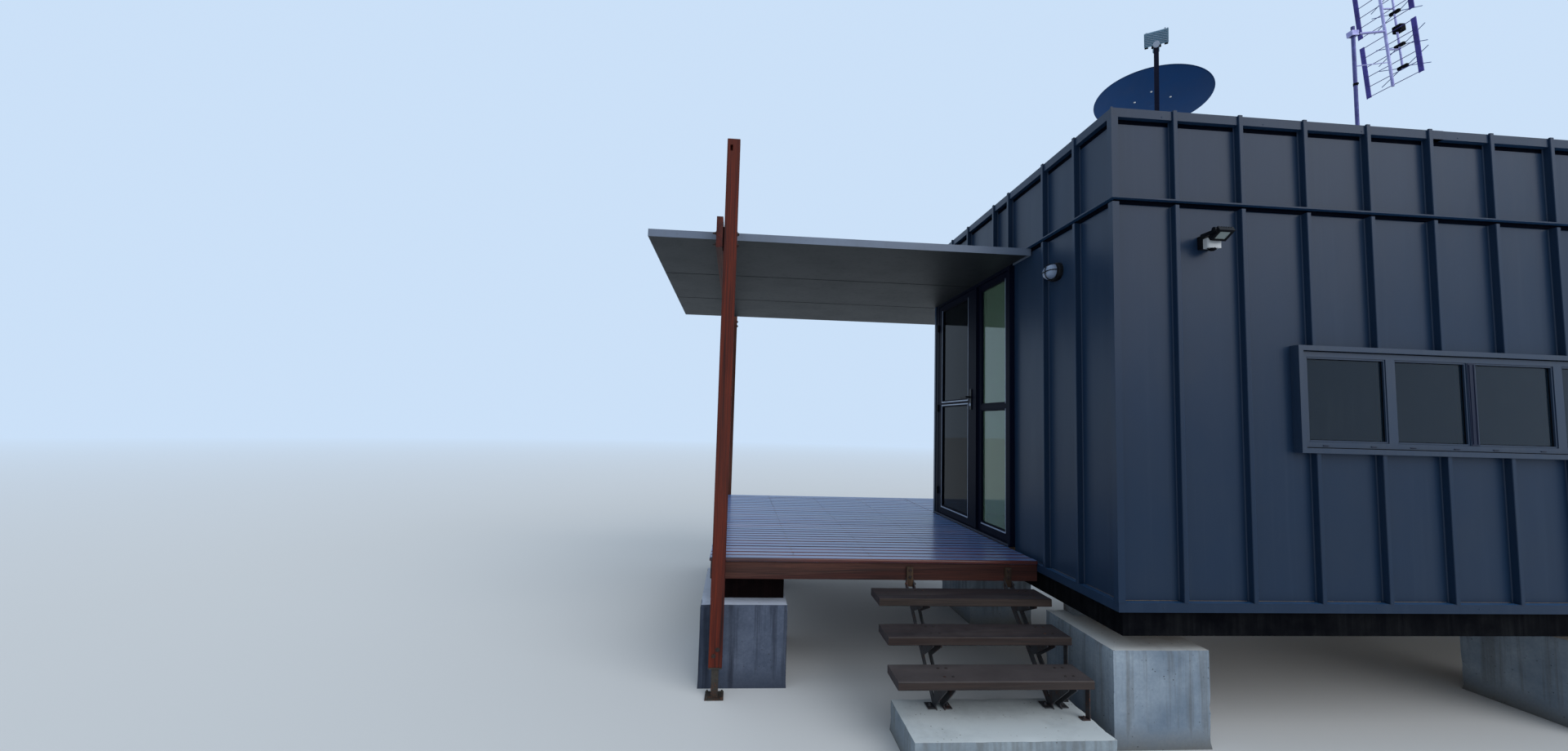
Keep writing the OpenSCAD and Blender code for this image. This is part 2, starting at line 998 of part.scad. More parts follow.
module deck_edge_beams() {
  z = [joist_low, board_low];
  color("#5c2a1e")
    placed() {
      block([rim_x, -fit], [beam_front, joist_front], z);
      block([rim_x, wing_l - 10], [joist_back, beam_back], z);
      block([rim_x, rim_x + joist_t], [joist_front + fit, joist_back - fit], z);
    }
}

module deck_joists() {
  z = [joist_low, board_low];
  y = [joist_front + fit, joist_back - fit];
  span = deck_l - nosing / 2 - 2 * joist_t;
  color("#4a2a20")
    placed() {
      for (i = [1 : joist_count]) {
        x = rim_x + joist_t / 2 + i * span / (joist_count + 1);
        block([x, x + joist_t], y, z);
      }
      block([-joist_t - fit, strip_back - fit], y, z);
      block([wing_l - 10 - joist_t, wing_l - 10], [wing_front + 10, y[1]], z);
      block([strip_back, wing_l - 10 - joist_t - fit], [wing_front + 10, wing_front + 10 + joist_t], z);
    }
}

module deck_stubs() {
  x = [-deck_l + 10, -deck_pier_at - 20];
  places = [deck_pier_back + deck_stub_in, deck_pier_back + deck_pier_d - deck_stub_in - deck_stub_w];
  color("#4a3a30")
    placed()
      for (p = places)
        for (y = [p, deck_at + deck_end - p - deck_stub_w])
          block(x, [y, y + deck_stub_w], [pier_h, joist_low]);
}

// steps

function tread_y(i) = top_tread_at - i * going;
function tread_z(i) = deck_z - (i + 1) * rise + 2;

module stair_treads() {
  color("#3a241d")
    placed()
      for (i = [0 : 2])
        translate([-tread_far, tread_y(i), tread_z(i) - tread_t])
          rotate([90, 0, 90])
            linear_extrude(tread_far - tread_near)
              planed(tread_d, tread_t);
}

function slope_z(y) = pad_h + tan(stringer_lean) * (y - stringer_foot);
function slope_y(z) = stringer_foot + (z - pad_h) / tan(stringer_lean);

module stringer_shape() {
  polygon([
    [slope_y(pad_h), pad_h],
    [slope_y(pad_h + stringer_h), pad_h],
    [beam_front, slope_z(beam_front) - stringer_h],
    [beam_front, slope_z(beam_front)]
  ]);
  for (i = [0 : 2]) {
    low = tread_z(i) - tread_t;
    back = tread_y(i) + tread_d;
    polygon([
      [tread_y(i) + 30, low],
      [tread_y(i) + 30, low - 18],
      [back - 20, slope_z(back) - stringer_h / 2],
      [back, slope_z(back) - stringer_h / 2],
      [back, low]
    ]);
  }
}

module stair_stringers() {
  color("#33363a")
    placed()
      for (c = cleat_at)
        for (x = [-c - cleat_w / 2 - stringer_t - fit, -c + cleat_w / 2 + fit])
          translate([x, 0, 0])
            rotate([90, 0, 90])
              linear_extrude(stringer_t)
                stringer_shape();
}

module beam_cleats() {
  color("#54281c")
    placed()
      for (c = cleat_at)
        block([-c - cleat_w / 2, -c + cleat_w / 2], [deck_at, beam_front], [cleat_top - cleat_h, cleat_top]);
}

module step_pad() {
  color("#a9a59b")
    placed()
      block([-pad_near - pad_l, -pad_near], [-pad_out, pad_d - pad_out], [0, pad_h]);
}

// piers

pier_x = [pier_in, mid_pier_at, cabin_l - pier_in - pier_l];
pier_y = [pier_back, cabin_w - pier_back - pier_d];

module cabin_piers() {
  color("#a8adb0")
    placed()
      for (x = pier_x)
        for (y = pier_y)
          block([x, x + pier_l], [y, y + pier_d], [0, pier_h]);
}

module deck_piers() {
  far = -deck_pier_at - deck_pier_l;
  rear = deck_at + deck_end - deck_pier_back - deck_pier_d;
  color("#9aa1a6")
    placed()
      for (y = [deck_pier_back, rear])
        block([far, -deck_pier_at], [y, y + deck_pier_d], [0, pier_h]);
}

module steel_stubs() {
  beams = [main_beam_at, cabin_w - main_beam_at - main_beam_w];
  color("#24272b")
    placed()
      for (x = pier_x)
        for (y = beams)
          block([x + 120, x + 120 + stub_l], [y, y + main_beam_w], [pier_h, base_h - chassis_h]);
}

// lights

module lamp_head(w, h, d) {
  difference() {
    cube([w, d, h]);
    translate([10, -1, 10])
      cube([w - 20, 9, h - 20]);
    for (x = [14 : 14 : w - 20])
      translate([x, d - 8, -1])
        cube([7, 9, h + 2]);
  }
}

module flood_light() {
  z = cabin_top - flood_drop;
  reach = lamp_d / 2 * cos(lamp_tilt) + lamp_l / 2 * sin(lamp_tilt);
  color("#14181e")
    placed() {
      block([flood_at - 6, flood_at + 62], [-4, rib_d], [z - 44, z + 30]);
      block([flood_at - 20, flood_at + 2], [-flood_out + 18, 0], [z + 12, z + 32]);
      rod([flood_at - 26, -flood_out + 30, z + 30], [flood_at + 8, -flood_out + 30, z + 30], 14);
      translate([flood_at + 32, -flood_out + reach, z + 13])
        rotate([lamp_tilt, 0, 0])
          translate([-lamp_w / 2, -lamp_d / 2, -lamp_l / 2])
            lamp_head(lamp_w, lamp_l, lamp_d);
    }
}

module motion_sensor() {
  low = cabin_top - flood_drop + 5 - sensor_h;
  color("#c9ccce")
    placed() {
      translate([0, 0, low])
        linear_extrude(sensor_h) {
          translate([flood_at + 6, -28])
            circle(14);
          translate([flood_at + 6, -42])
            square([62, 38 - fit]);
          translate([flood_at - 8, -28])
            square([30, 24 - fit]);
        }
      translate([flood_at + 30, -24, low - 12])
        cylinder(h = 12, r1 = 11, r2 = 17);
    }
}

module oval(r, x) {
  translate([x[0], 0, 0])
    rotate([90, 0, 90])
      linear_extrude(x[1] - x[0]) {
        for (side = [-1, 1])
          translate([side * bulkhead_half, 0])
            circle(r);
        translate([-bulkhead_half, -r])
          square([2 * bulkhead_half, 2 * r]);
      }
}

module bulkhead_light() {
  color("#8e959b")
    placed()
      translate([0, bulkhead_at, cabin_top - bulkhead_drop]) {
        oval(bulkhead_r, [14, rib_d]);
        oval(bulkhead_r - 8, [-30, 14]);
        oval(bulkhead_r - 20, [-46, -30]);
      }
}

// dish

module at_dish() {
  translate([dish_x, dish_y, cabin_top + dish_over])
    rotate([0, 0, -dish_turn])
      children();
}

module dish_tilt() {
  rotate([90 - dish_lift, 0, 0])
    children();
}

dish_ball = (dish_r * dish_r + dish_deep * dish_deep) / (2 * dish_deep);
plinth_h = 26;
feed_point = [-0.45 * dish_r, 1.245 * dish_r];
arm_start = [-dish_r - 45, -50];
arm_root = [0, -dish_deep - dish_t - plinth_h - arm_w / 2 - fit];
arm_lean = atan2(feed_point[0] - arm_start[0], feed_point[1] - arm_start[1]);

module satellite_dish() {
  color("#2c3c56")
    placed()
      at_dish()
        dish_tilt()
          intersection() {
            translate([0, 0, dish_ball - dish_deep])
              difference() {
                sphere(dish_ball + dish_t);
                sphere(dish_ball);
              }
            translate([0, 0, -dish_deep - 50])
              cylinder(h = dish_deep + 50, r = dish_r);
          }
}

module dish_bar(w) {
  translate([arm_side - w / 2, 0, 0])
    rotate([90, 0, 90])
      linear_extrude(w)
        bent_bar(arm_root, arm_start, feed_point, w);
}

module dish_arm() {
  color("#111a33")
    placed()
      at_dish()
        dish_tilt()
          dish_bar(arm_w);
}

module finned(w, h, count, deep) {
  pitch = w / (2 * count - 1);
  difference() {
    square([w, h]);
    for (k = [0 : count - 2])
      translate([(2 * k + 1) * pitch, -1])
        square([pitch, deep + 1]);
  }
}

module dish_feed() {
  color("#8f9a9e")
    placed()
      at_dish()
        dish_tilt()
          translate([arm_side, feed_point[0], feed_point[1]])
            rotate([-arm_lean, 0, 0]) {
              translate([-feed_w / 2, -arm_w, fit])
                rotate([90, 0, 90])
                  linear_extrude(feed_w)
                    finned(feed_d, feed_h, feed_fins, feed_fin_h);
              translate([0, 44, 14])
                rotate([220, 0, 0])
                  cylinder(h = 80, r = 21);
            }
}

module dish_mount() {
  up = cabin_top + dish_over;
  color("#5c6268")
    placed()
      at_dish() {
        translate([0, dish_behind, roof_top - up])
          cylinder(h = up - roof_top - 20, r = dish_mast_r);
        translate([0, dish_behind, roof_top - up])
          cylinder(h = mast_foot_t, r = dish_foot_r);
        difference() {
          union() {
            dish_tilt()
              translate([0, 0, -dish_deep - dish_t - plinth_h])
                cylinder(h = plinth_h, r = 70);
            rod([0, 78, -50], [0, dish_behind, -60], 22);
          }
          dish_tilt()
            dish_bar(arm_w + 2 * fit);
        }
      }
}

// antenna

module antenna_mast() {
  z = cabin_top + mast_over;
  color("#5a5590")
    placed() {
      translate([mast_x, mast_y, roof_top])
        cylinder(h = z - roof_top, r = mast_r);
      translate([mast_x, mast_y, roof_top])
        cylinder(h = mast_foot_t, r = mast_foot_r);
    }
}

boom_x = mast_x + reflector_at;
mid_z = cabin_top + antenna_over;
reflector_half_h = reflector_h + reflector_gap / 2;
element_places = [-345, -150, 150, 345];
rod_pitch = (reflector_h - 20) / (rod_count - 1);
strut_at = reflector_gap / 2 + 10 + 1.5 * rod_pitch;

module leaning() {
  translate([mast_x, mast_y, mid_z - 40])
    rotate([0, -antenna_lean, 0])
      translate([-mast_x, -mast_y, 40 - mid_z])
        children();
}

module antenna_boom() {
  reach = reflector_half_h + 6;
  color("#8d93b5")
    placed()
      difference() {
        leaning() {
          rod([boom_x, mast_y, mid_z - reach], [boom_x, mast_y, mid_z + reach], boom_r);
          block([mast_x - 34, mast_x + 30], [mast_y - 26, mast_y + 26], [mid_z - clamp_low, mid_z - 18]);
          rod([mast_x + 20, mast_y, mid_z - 40], [boom_x, mast_y, mid_z - 20], 10);
          rod([mast_x - 40, mast_y, mid_z - stay_low - 30], [boom_x, mast_y, mid_z - stay_low], 4);
          for (z = [mid_z - strut_at, mid_z + strut_at])
            rod([boom_x, mast_y, z], [boom_x + feed_at, mast_y, z], 7);
        }
        translate([mast_x, mast_y, mid_z - reach])
          cylinder(h = reach, r = mast_r + fit);
      }
}

module side_channel() {
  difference() {
    translate([-4, -18])
      square([8, 36]);
    translate([-2, -15])
      square([7, 30]);
  }
}

module antenna_reflector() {
  x = boom_x + boom_r + rod_r + fit;
  color("#4b4590")
    placed()
      leaning()
        for (low = [mid_z - reflector_half_h, mid_z + reflector_gap / 2]) {
          for (side = [-1, 1])
            translate([x, mast_y + side * reflector_half, low])
              linear_extrude(reflector_h)
                side_channel();
          for (i = [0 : rod_count - 1])
            rod(
              [x, mast_y - reflector_half, low + 10 + i * rod_pitch],
              [x, mast_y + reflector_half, low + 10 + i * rod_pitch],
              rod_r
            );
        }
}

module antenna_feed() {
  x = boom_x + feed_at;
  rod_x = x + feed_rod_r + fit;
  color("#7c82a8")
    placed()
      leaning() {
        rod([rod_x, mast_y, mid_z - feed_half], [rod_x, mast_y, mid_z + feed_half], feed_rod_r);
        block([x + 2, x + 52], [mast_y - 32, mast_y + 32], [mid_z - 30, mid_z + 30]);
        for (p = element_places)
          block([x + 1, x + 22], [mast_y - 36, mast_y + 36], [mid_z + p - 12, mid_z + p + 12]);
      }
}

module antenna_elements() {
  x = boom_x + feed_at + 22 + fit + rod_r;
  color("#37406a")
    placed()
      leaning()
        for (p = element_places)
          for (side = [-1, 1]) {
            root = [x, mast_y + side * 20, mid_z + p];
            rod(root, [x, mast_y + side * element_reach, mid_z + p + 75], rod_r);
            rod(root, [x, mast_y + side * element_reach, mid_z + p - 75], rod_r);
          }
}

base_frame();
cabin_floor();
front_wall();
back_wall();
right_end_wall();
door_wall_front();
door_wall_head();
door_corner_post();
roof_deck();
front_cladding();
back_cladding();
door_end_cladding();
right_end_cladding();
belt_flashing();
shadow_strips();
base_flashing();
parapet_capping();
corner_flashings();
window_surround();
window_sash();
window_glass();
door_frame();
fixed_light_frame();
fixed_light_glass();
door_leaf();
door_leaf_glass();
door_handle();
frame_hinges();
leaf_hinges();
canopy_panels();
canopy_trim();
canopy_bearer();
bearer_packers();
canopy_posts();
post_shoes();
deck_boards();
deck_edge_beams();
deck_joists();
deck_stubs();
stair_treads();
stair_stringers();
beam_cleats();
step_pad();
cabin_piers();
deck_piers();
steel_stubs();
flood_light();
motion_sensor();
bulkhead_light();
satellite_dish();
dish_arm();
dish_feed();
dish_mount();
antenna_mast();
antenna_boom();
antenna_reflector();
antenna_feed();
antenna_elements();
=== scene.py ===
import json
import math
import random

import bmesh
import bpy
from mathutils import Matrix, Vector, noise


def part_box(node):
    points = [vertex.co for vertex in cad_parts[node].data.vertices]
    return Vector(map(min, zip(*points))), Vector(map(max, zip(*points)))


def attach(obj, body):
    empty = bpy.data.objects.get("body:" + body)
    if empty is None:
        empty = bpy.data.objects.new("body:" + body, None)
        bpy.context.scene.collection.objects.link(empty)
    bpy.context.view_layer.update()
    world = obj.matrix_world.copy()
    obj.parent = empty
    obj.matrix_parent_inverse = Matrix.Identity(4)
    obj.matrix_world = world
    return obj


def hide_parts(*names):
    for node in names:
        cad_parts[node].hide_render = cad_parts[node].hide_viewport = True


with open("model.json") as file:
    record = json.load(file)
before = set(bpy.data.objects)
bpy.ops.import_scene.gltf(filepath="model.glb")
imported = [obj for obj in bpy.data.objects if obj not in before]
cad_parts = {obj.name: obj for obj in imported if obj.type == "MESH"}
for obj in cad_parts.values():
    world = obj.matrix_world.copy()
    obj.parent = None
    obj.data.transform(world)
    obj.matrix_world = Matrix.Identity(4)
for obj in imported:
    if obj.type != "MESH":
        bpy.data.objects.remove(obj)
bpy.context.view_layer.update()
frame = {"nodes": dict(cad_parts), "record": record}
nodes = frame["nodes"]
scene = bpy.context.scene
scene.view_settings.view_transform = "Standard"
rng = random.Random(7)
print("frame loaded:", len(nodes), "parts")


# shader nodes

def link(tree, source, target):
    tree.links.new(source, target)


def put(tree, kind, values=None, **settings):  # one node, its settings and its inputs
    n = tree.nodes.new("ShaderNode" + kind)
    for k, v in settings.items():
        setattr(n, k, v)
    for k, v in (values or {}).items():
        if isinstance(v, bpy.types.NodeSocket):
            link(tree, v, n.inputs[k])
        else:
            n.inputs[k].default_value = v
    return n


def shade(r, g, b):  # a display colour, 0 to 255, as the linear one a shader takes
    lin = [c / 255 / 12.92 if c <= 10 else ((c / 255 + 0.055) / 1.055) ** 2.4 for c in (r, g, b)]
    return (*lin, 1.0)


def mixed(tree, fac, a, b):
    return put(tree, "Mix", {0: fac, 6: a, 7: b}, data_type="RGBA").outputs[2]


def sums(tree, op, *values, clamp=False):
    n = put(tree, "Math", dict(enumerate(values)), operation=op)
    n.use_clamp = clamp
    return n.outputs[0]


def times(tree, a, b, clamp=False):
    return sums(tree, "MULTIPLY", a, b, clamp=clamp)


def timesPlus(tree, a, b, c, clamp=False):  # a times b, plus c
    return sums(tree, "MULTIPLY_ADD", a, b, c, clamp=clamp)


def spread(tree, value, low, high, outLow=0.0, outHigh=1.0):
    return put(tree, "MapRange", {"Value": value, "From Min": low, "From Max": high,
                                  "To Min": outLow, "To Max": outHigh}).outputs[0]


def stretched(tree, source, scale):
    return put(tree, "Mapping", {"Vector": source, "Scale": scale}).outputs[0]


def grains(tree, vector, scale, detail, rough):
    return put(tree, "TexNoise", {"Vector": vector, "Scale": scale, "Detail": detail,
                                  "Roughness": rough}).outputs["Fac"]


def place(tree):  # where a point lies on its own piece, in metres
    return put(tree, "TexCoord").outputs["Object"]


def upward(tree, vector):
    return put(tree, "SeparateXYZ", {0: vector}).outputs[2]


def facingUp(tree):  # 1 on a top, 0 on an upright side
    return upward(tree, put(tree, "TexCoord").outputs["Normal"])


def relief(tree, shader, height, strength, distance):
    n = put(tree, "Bump", {"Height": height, "Strength": strength, "Distance": distance})
    link(tree, n.outputs[0], shader.inputs["Normal"])


# view and light

viewSettings = {
    "spot": (-3.6818, -5.1480, 1.7258), "yaw": 0.0763, "pitch": 0.0787, "roll": 0.0285,  # metres, radians
    "lens": 13.642, "sensor": 36, "clip": (0.05, 400),
    "backdrop": (0.60, 0.75, 0.94, 1.0),
    "fill": (0.80, 0.90, 1.0, 1.0), "fillStrength": 0.66,
}
sunSettings = {"spot": (9, -14, 11), "aim": (0, 0, 1), "strength": 1.35, "softness": 0.9,
               "colour": (1.0, 0.97, 0.93)}


def makeCamera(s):
    data = bpy.data.cameras.new("camera")
    cam = bpy.data.objects.new("camera", data)
    scene.collection.objects.link(cam)
    yaw, pitch, roll = s["yaw"], s["pitch"], s["roll"]
    ahead = Vector((math.sin(yaw) * math.cos(pitch), math.cos(yaw) * math.cos(pitch), math.sin(pitch)))
    side = Vector((math.cos(yaw), -math.sin(yaw), 0))
    top = side.cross(ahead)
    right = side * math.cos(roll) + top * math.sin(roll)
    up = top * math.cos(roll) - side * math.sin(roll)
    turn = Matrix((right, up, -ahead)).transposed()
    cam.matrix_world = Matrix.Translation(s["spot"]) @ turn.to_4x4()
    data.sensor_width, data.lens = s["sensor"], s["lens"]
    data.clip_start, data.clip_end = s["clip"]
    scene.camera = cam


def makeWorld(s):  # one colour for what is seen and mirrored, another for the light that it gives
    world = bpy.data.worlds.new("studio")
    scene.world = world
    world.use_nodes = True
    tree = world.node_tree
    tree.nodes.clear()
    rays = put(tree, "LightPath").outputs
    seen = sums(tree, "MAXIMUM", rays["Is Camera Ray"], rays["Is Glossy Ray"])
    seen = sums(tree, "MAXIMUM", seen, rays["Is Transmission Ray"])
    fill = put(tree, "Background", {"Color": s["fill"], "Strength": s["fillStrength"]})
    back = put(tree, "Background", {"Color": s["backdrop"], "Strength": 1.0})
    both = put(tree, "MixShader", {0: seen, 1: fill.outputs[0], 2: back.outputs[0]})
    link(tree, both.outputs[0], put(tree, "OutputWorld").inputs[0])


def addSun(s):
    data = bpy.data.lights.new("keyLight", "SUN")
    data.energy, data.color, data.angle = s["strength"], s["colour"], s["softness"]
    lamp = bpy.data.objects.new("keyLight", data)
    lamp.location = s["spot"]
    lamp.rotation_mode = "QUATERNION"
    lamp.rotation_quaternion = (Vector(s["aim"]) - Vector(s["spot"])).to_track_quat("-Z", "Y")
    scene.collection.objects.link(lamp)


makeCamera(viewSettings)
makeWorld(viewSettings)
addSun(sunSettings)
print("camera and light set")


# shared effects: each gives a colour, a roughness and a height that change over the surface

def effect(name, ins, colourOut):  # ins: each input's first value, None for a vector
    g = bpy.data.node_groups.new(name, "ShaderNodeTree")
    for label, value in ins.items():
        kind = "Vector" if value is None else "Color" if isinstance(value, tuple) else "Float"
        socket = g.interface.new_socket(label, in_out="INPUT", socket_type="NodeSocket" + kind)
        if value is not None:
            socket.default_value = shade(*value) if kind == "Color" else value
    for label, kind in ((colourOut, "Color"), ("Roughness", "Float"), ("Height", "Float")):
        g.interface.new_socket(label, in_out="OUTPUT", socket_type="NodeSocket" + kind)
    return g, g.nodes.new("NodeGroupInput").outputs, g.nodes.new("NodeGroupOutput").inputs


def giveOut(g, sockets, colour, rough, height):
    for value, socket in zip((colour, rough, height), sockets):
        link(g, value, socket)
    return g


def coatedSheetEffect():  # paint on thin folded sheet: slow bows, washed streaks, road dust
    g, i, o = effect("coatedSheet", {"Paint": (60, 76, 98), "Dust": (110, 118, 124), "Bow": 1.0,
                                     "Dirt": 0.3, "Sheen": 0.36}, "Paint")
    p = place(g)
    bow = grains(g, stretched(g, p, (1.0, 1.0, 0.45)), 1.7, 1.5, 0.4)
    tight = grains(g, stretched(g, p, (1.0, 1.0, 0.35)), 7.0, 1.0, 0.4)
    peel = grains(g, p, 420.0, 2.0, 0.5)
    streak = grains(g, stretched(g, p, (26.0, 26.0, 0.9)), 1.0, 4.0, 0.6)
    cloud = grains(g, p, 3.1, 4.0, 0.6)
    streaks = spread(g, streak, 0.52, 0.78)
    clouds = spread(g, cloud, 0.42, 0.75)
    dirt = times(g, timesPlus(g, streaks, 0.6, times(g, clouds, 0.4)), i["Dirt"], clamp=True)
    tone = mixed(g, spread(g, cloud, 0.3, 0.7, 0.0, 0.16), i["Paint"], shade(20, 26, 36))
    rough = sums(g, "ADD", i["Sheen"], times(g, dirt, 0.5), clamp=True)
    waves = times(g, timesPlus(g, tight, 0.22, bow), i["Bow"])
    return giveOut(g, o, mixed(g, dirt, tone, i["Dust"]), rough, timesPlus(g, peel, 0.004, waves))


def timberEffect():  # boards whose grain runs along the first axis of Vector
    g, i, o = effect("timber", {"Vector": None, "Light": (150, 70, 48), "Dark": (80, 32, 24),
                                "Weather": (120, 104, 96), "Wear": 0.2, "Sheen": 0.4}, "Wood")
    shift = put(g, "NewGeometry").outputs["Random Per Island"]
    moved = put(g, "CombineXYZ", {k: times(g, shift, far) for k, far in enumerate((37.0, 11.0, 5.0))})
    v = put(g, "VectorMath", {0: i["Vector"], 1: moved.outputs[0]}, operation="ADD").outputs[0]
    sway = put(g, "TexNoise", {"Vector": stretched(g, v, (0.8, 4.0, 4.0)), "Scale": 1.0, "Detail": 2.0})
    bent = put(g, "VectorMath", {0: sway.outputs["Color"], 1: (0.0, 0.05, 0.05), 2: v},
               operation="MULTIPLY_ADD").outputs[0]
    fibre = grains(g, stretched(g, bent, (2.2, 150.0, 150.0)), 1.0, 5.0, 0.6)
    band = grains(g, stretched(g, bent, (0.7, 26.0, 26.0)), 1.0, 3.0, 0.5)
    pore = grains(g, stretched(g, bent, (14.0, 700.0, 700.0)), 1.0, 1.0, 0.5)
    patch = grains(g, stretched(g, v, (1.2, 5.0, 5.0)), 1.0, 3.0, 0.6)
    figure = timesPlus(g, fibre, 0.55, times(g, band, 0.45))
    wood = mixed(g, spread(g, figure, 0.36, 0.64), i["Dark"], i["Light"])
    wood = mixed(g, spread(g, pore, 0.6, 0.74, 0.0, 0.55), wood, i["Dark"])
    tint = put(g, "HueSaturation", {"Hue": timesPlus(g, shift, 0.02, 0.49),
                                    "Saturation": timesPlus(g, shift, -0.25, 1.1),
                                    "Value": timesPlus(g, shift, 0.5, 0.74), "Color": wood}).outputs[0]
    worn = times(g, spread(g, patch, 0.45, 0.72), i["Wear"], clamp=True)
    rough = timesPlus(g, fibre, 0.14, timesPlus(g, worn, 0.4, i["Sheen"]), clamp=True)
    return giveOut(g, o, mixed(g, worn, tint, i["Weather"]), rough, timesPlus(g, pore, -0.35, figure))


def concreteEffect():  # cast in a form: cement clouds, blow holes, dripped sides, splashed foot, and paler tops, partly a thin cement skin and partly painted light
    g, i, o = effect("castConcrete", {
        "Light": (176, 182, 184), "Dark": (112, 120, 124), "Stain": (84, 78, 66), "Top": (170, 176, 178),
        "Damp": 0.4, "Foot": 0.12}, "Concrete")
    p = place(g)
    cloud = grains(g, p, 2.3, 6.0, 0.65)
    fine = grains(g, p, 60.0, 4.0, 0.6)
    sand = grains(g, p, 420.0, 2.0, 0.6)
    holes = put(g, "TexVoronoi", {"Vector": p, "Scale": 34.0}, feature="F1").outputs["Distance"]
    pick = grains(g, p, 11.0, 2.0, 0.5)
    pits = times(g, spread(g, holes, 0.16, 0.07), spread(g, pick, 0.5, 0.6), clamp=True)
    drip = grains(g, stretched(g, p, (19.0, 19.0, 0.6)), 1.0, 5.0, 0.6)
    tone = mixed(g, spread(g, cloud, 0.3, 0.7), i["Dark"], i["Light"])
    tone = mixed(g, spread(g, fine, 0.35, 0.7, 0.0, 0.28), tone, i["Dark"])
    runs = times(g, spread(g, drip, 0.47, 0.61), i["Damp"], clamp=True)
    foot = spread(g, timesPlus(g, cloud, 0.22, sums(g, "SUBTRACT", i["Foot"], upward(g, p))), 0.04, 0.20)
    tone = mixed(g, sums(g, "MAXIMUM", runs, times(g, foot, 0.75)), tone, i["Stain"])
    # paler tops: partly a thin cement skin, partly painted light falling on them
    skinAndLitTop = times(g, spread(g, facingUp(g), 0.6, 0.9), spread(g, cloud, 0.25, 0.5, 0.55, 0.95))
    tone = mixed(g, skinAndLitTop, tone, i["Top"])
    rise = timesPlus(g, fine, 0.5, times(g, sand, 0.25))
    return giveOut(g, o, mixed(g, times(g, pits, 0.8), tone, shade(50, 50, 48)),
                   spread(g, fine, 0.3, 0.7, 0.78, 0.95), timesPlus(g, pits, -1.6, rise))


def bareMetalEffect():  # zinc or mill aluminium: crystals, grey bloom, small rust marks
    g, i, o = effect("bareMetal", {"Metal": (150, 154, 156), "Bloom": (112, 116, 118), "Rust": (104, 62, 40),
                                   "Crystal": 90.0, "Rusting": 0.1, "Sheen": 0.42}, "Metal")
    p = place(g)
    cell = put(g, "TexVoronoi", {"Vector": p, "Scale": i["Crystal"]}, feature="F1").outputs["Color"]
    spang = put(g, "SeparateColor", {0: cell}).outputs[0]
    cloud = grains(g, p, 8.0, 5.0, 0.65)
    speck = grains(g, p, 140.0, 3.0, 0.6)
    tone = mixed(g, spread(g, spang, 0.0, 1.0, 0.0, 0.5), i["Metal"], i["Bloom"])
    tone = mixed(g, spread(g, cloud, 0.4, 0.68), tone, i["Bloom"])
    rust = times(g, spread(g, times(g, cloud, speck), 0.27, 0.36), i["Rusting"], clamp=True)
    return giveOut(g, o, mixed(g, rust, tone, i["Rust"]),
                   timesPlus(g, cloud, 0.22, i["Sheen"], clamp=True), timesPlus(g, speck, 0.3, spang))


def mouldedEffect():  # powder coat and moulded plastic: fine texture, handling dust
    g, i, o = effect("mouldedCoat", {"Coat": (24, 30, 40), "Dust": (104, 108, 110), "Dirt": 0.15,
                                     "Texture": 500.0, "Sheen": 0.35}, "Coat")
    p = place(g)
    fine = grains(g, p, i["Texture"], 2.0, 0.5)
    cloud = grains(g, p, 5.0, 5.0, 0.65)
    fall = grains(g, stretched(g, p, (30.0, 30.0, 2.0)), 1.0, 3.0, 0.6)
    marks = times(g, spread(g, cloud, 0.35, 0.75), spread(g, fall, 0.3, 0.7))
    dirt = times(g, marks, i["Dirt"], clamp=True)
    tone = mixed(g, spread(g, cloud, 0.3, 0.7, 0.0, 0.14), i["Coat"], shade(12, 14, 18))
    return giveOut(g, o, mixed(g, dirt, tone, i["Dust"]),
                   timesPlus(g, dirt, 0.5, i["Sheen"], clamp=True), fine)


effects = {
    "sheet": coatedSheetEffect(), "timber": timberEffect(), "concrete": concreteEffect(),
    "metal": bareMetalEffect(), "moulded": mouldedEffect(),
}
print("effects built:", len(effects))


# finishes: colours are display colours, 0 to 255, and sheen is the clean surface's roughness

def startFinish(name, values):
    mat = bpy.data.materials.new(name)
    mat.use_nodes = True
    tree = mat.node_tree
    tree.nodes.clear()
    shader = put(tree, "BsdfPrincipled", values)
    link(tree, shader.outputs[0], put(tree, "OutputMaterial").inputs[0])
    return mat, tree, shader


bumps = {  # strength, and distance in metres
    "sheet": (0.5, 0.02), "timber": (0.35, 0.0015), "concrete": (0.6, 0.002),
    "metal": (0.2, 0.0004), "moulded": (0.12, 0.0004),
}
veilTints = {"sheet": (0.12, 0.42, 1.0, 1.0), "timber": (0.15, 0.43, 1.0, 1.0)}


def useEffect(tree, shader, key, values, vector=None, bump=None):
    n = tree.nodes.new("ShaderNodeGroup")
    n.node_tree = effects[key]
    for k, v in values.items():
        n.inputs[k].default_value = shade(*v) if isinstance(v, tuple) else v
    if vector is not None:
        link(tree, vector, n.inputs["Vector"])
    link(tree, n.outputs[0], shader.inputs["Base Color"])
    link(tree, n.outputs["Roughness"], shader.inputs["Roughness"])
    relief(tree, shader, n.outputs["Height"], *(bump or bumps[key]))
    return n.outputs[0]


# veil: how much of the blue sheen that a pale sky lays over a surface seen at a low angle
def sheetFinish(name, paint, dust, bow, dirt, sheen, bump=None, gloss=0.4, veil=0.0):
    mat, tree, shader = startFinish(name, {
        "Specular IOR Level": gloss, "Sheen Weight": veil, "Sheen Roughness": 0.3,
        "Sheen Tint": veilTints["sheet"]})
    useEffect(tree, shader, "sheet",
              {"Paint": paint, "Dust": dust, "Bow": bow, "Dirt": dirt, "Sheen": sheen}, bump=bump)
    return mat


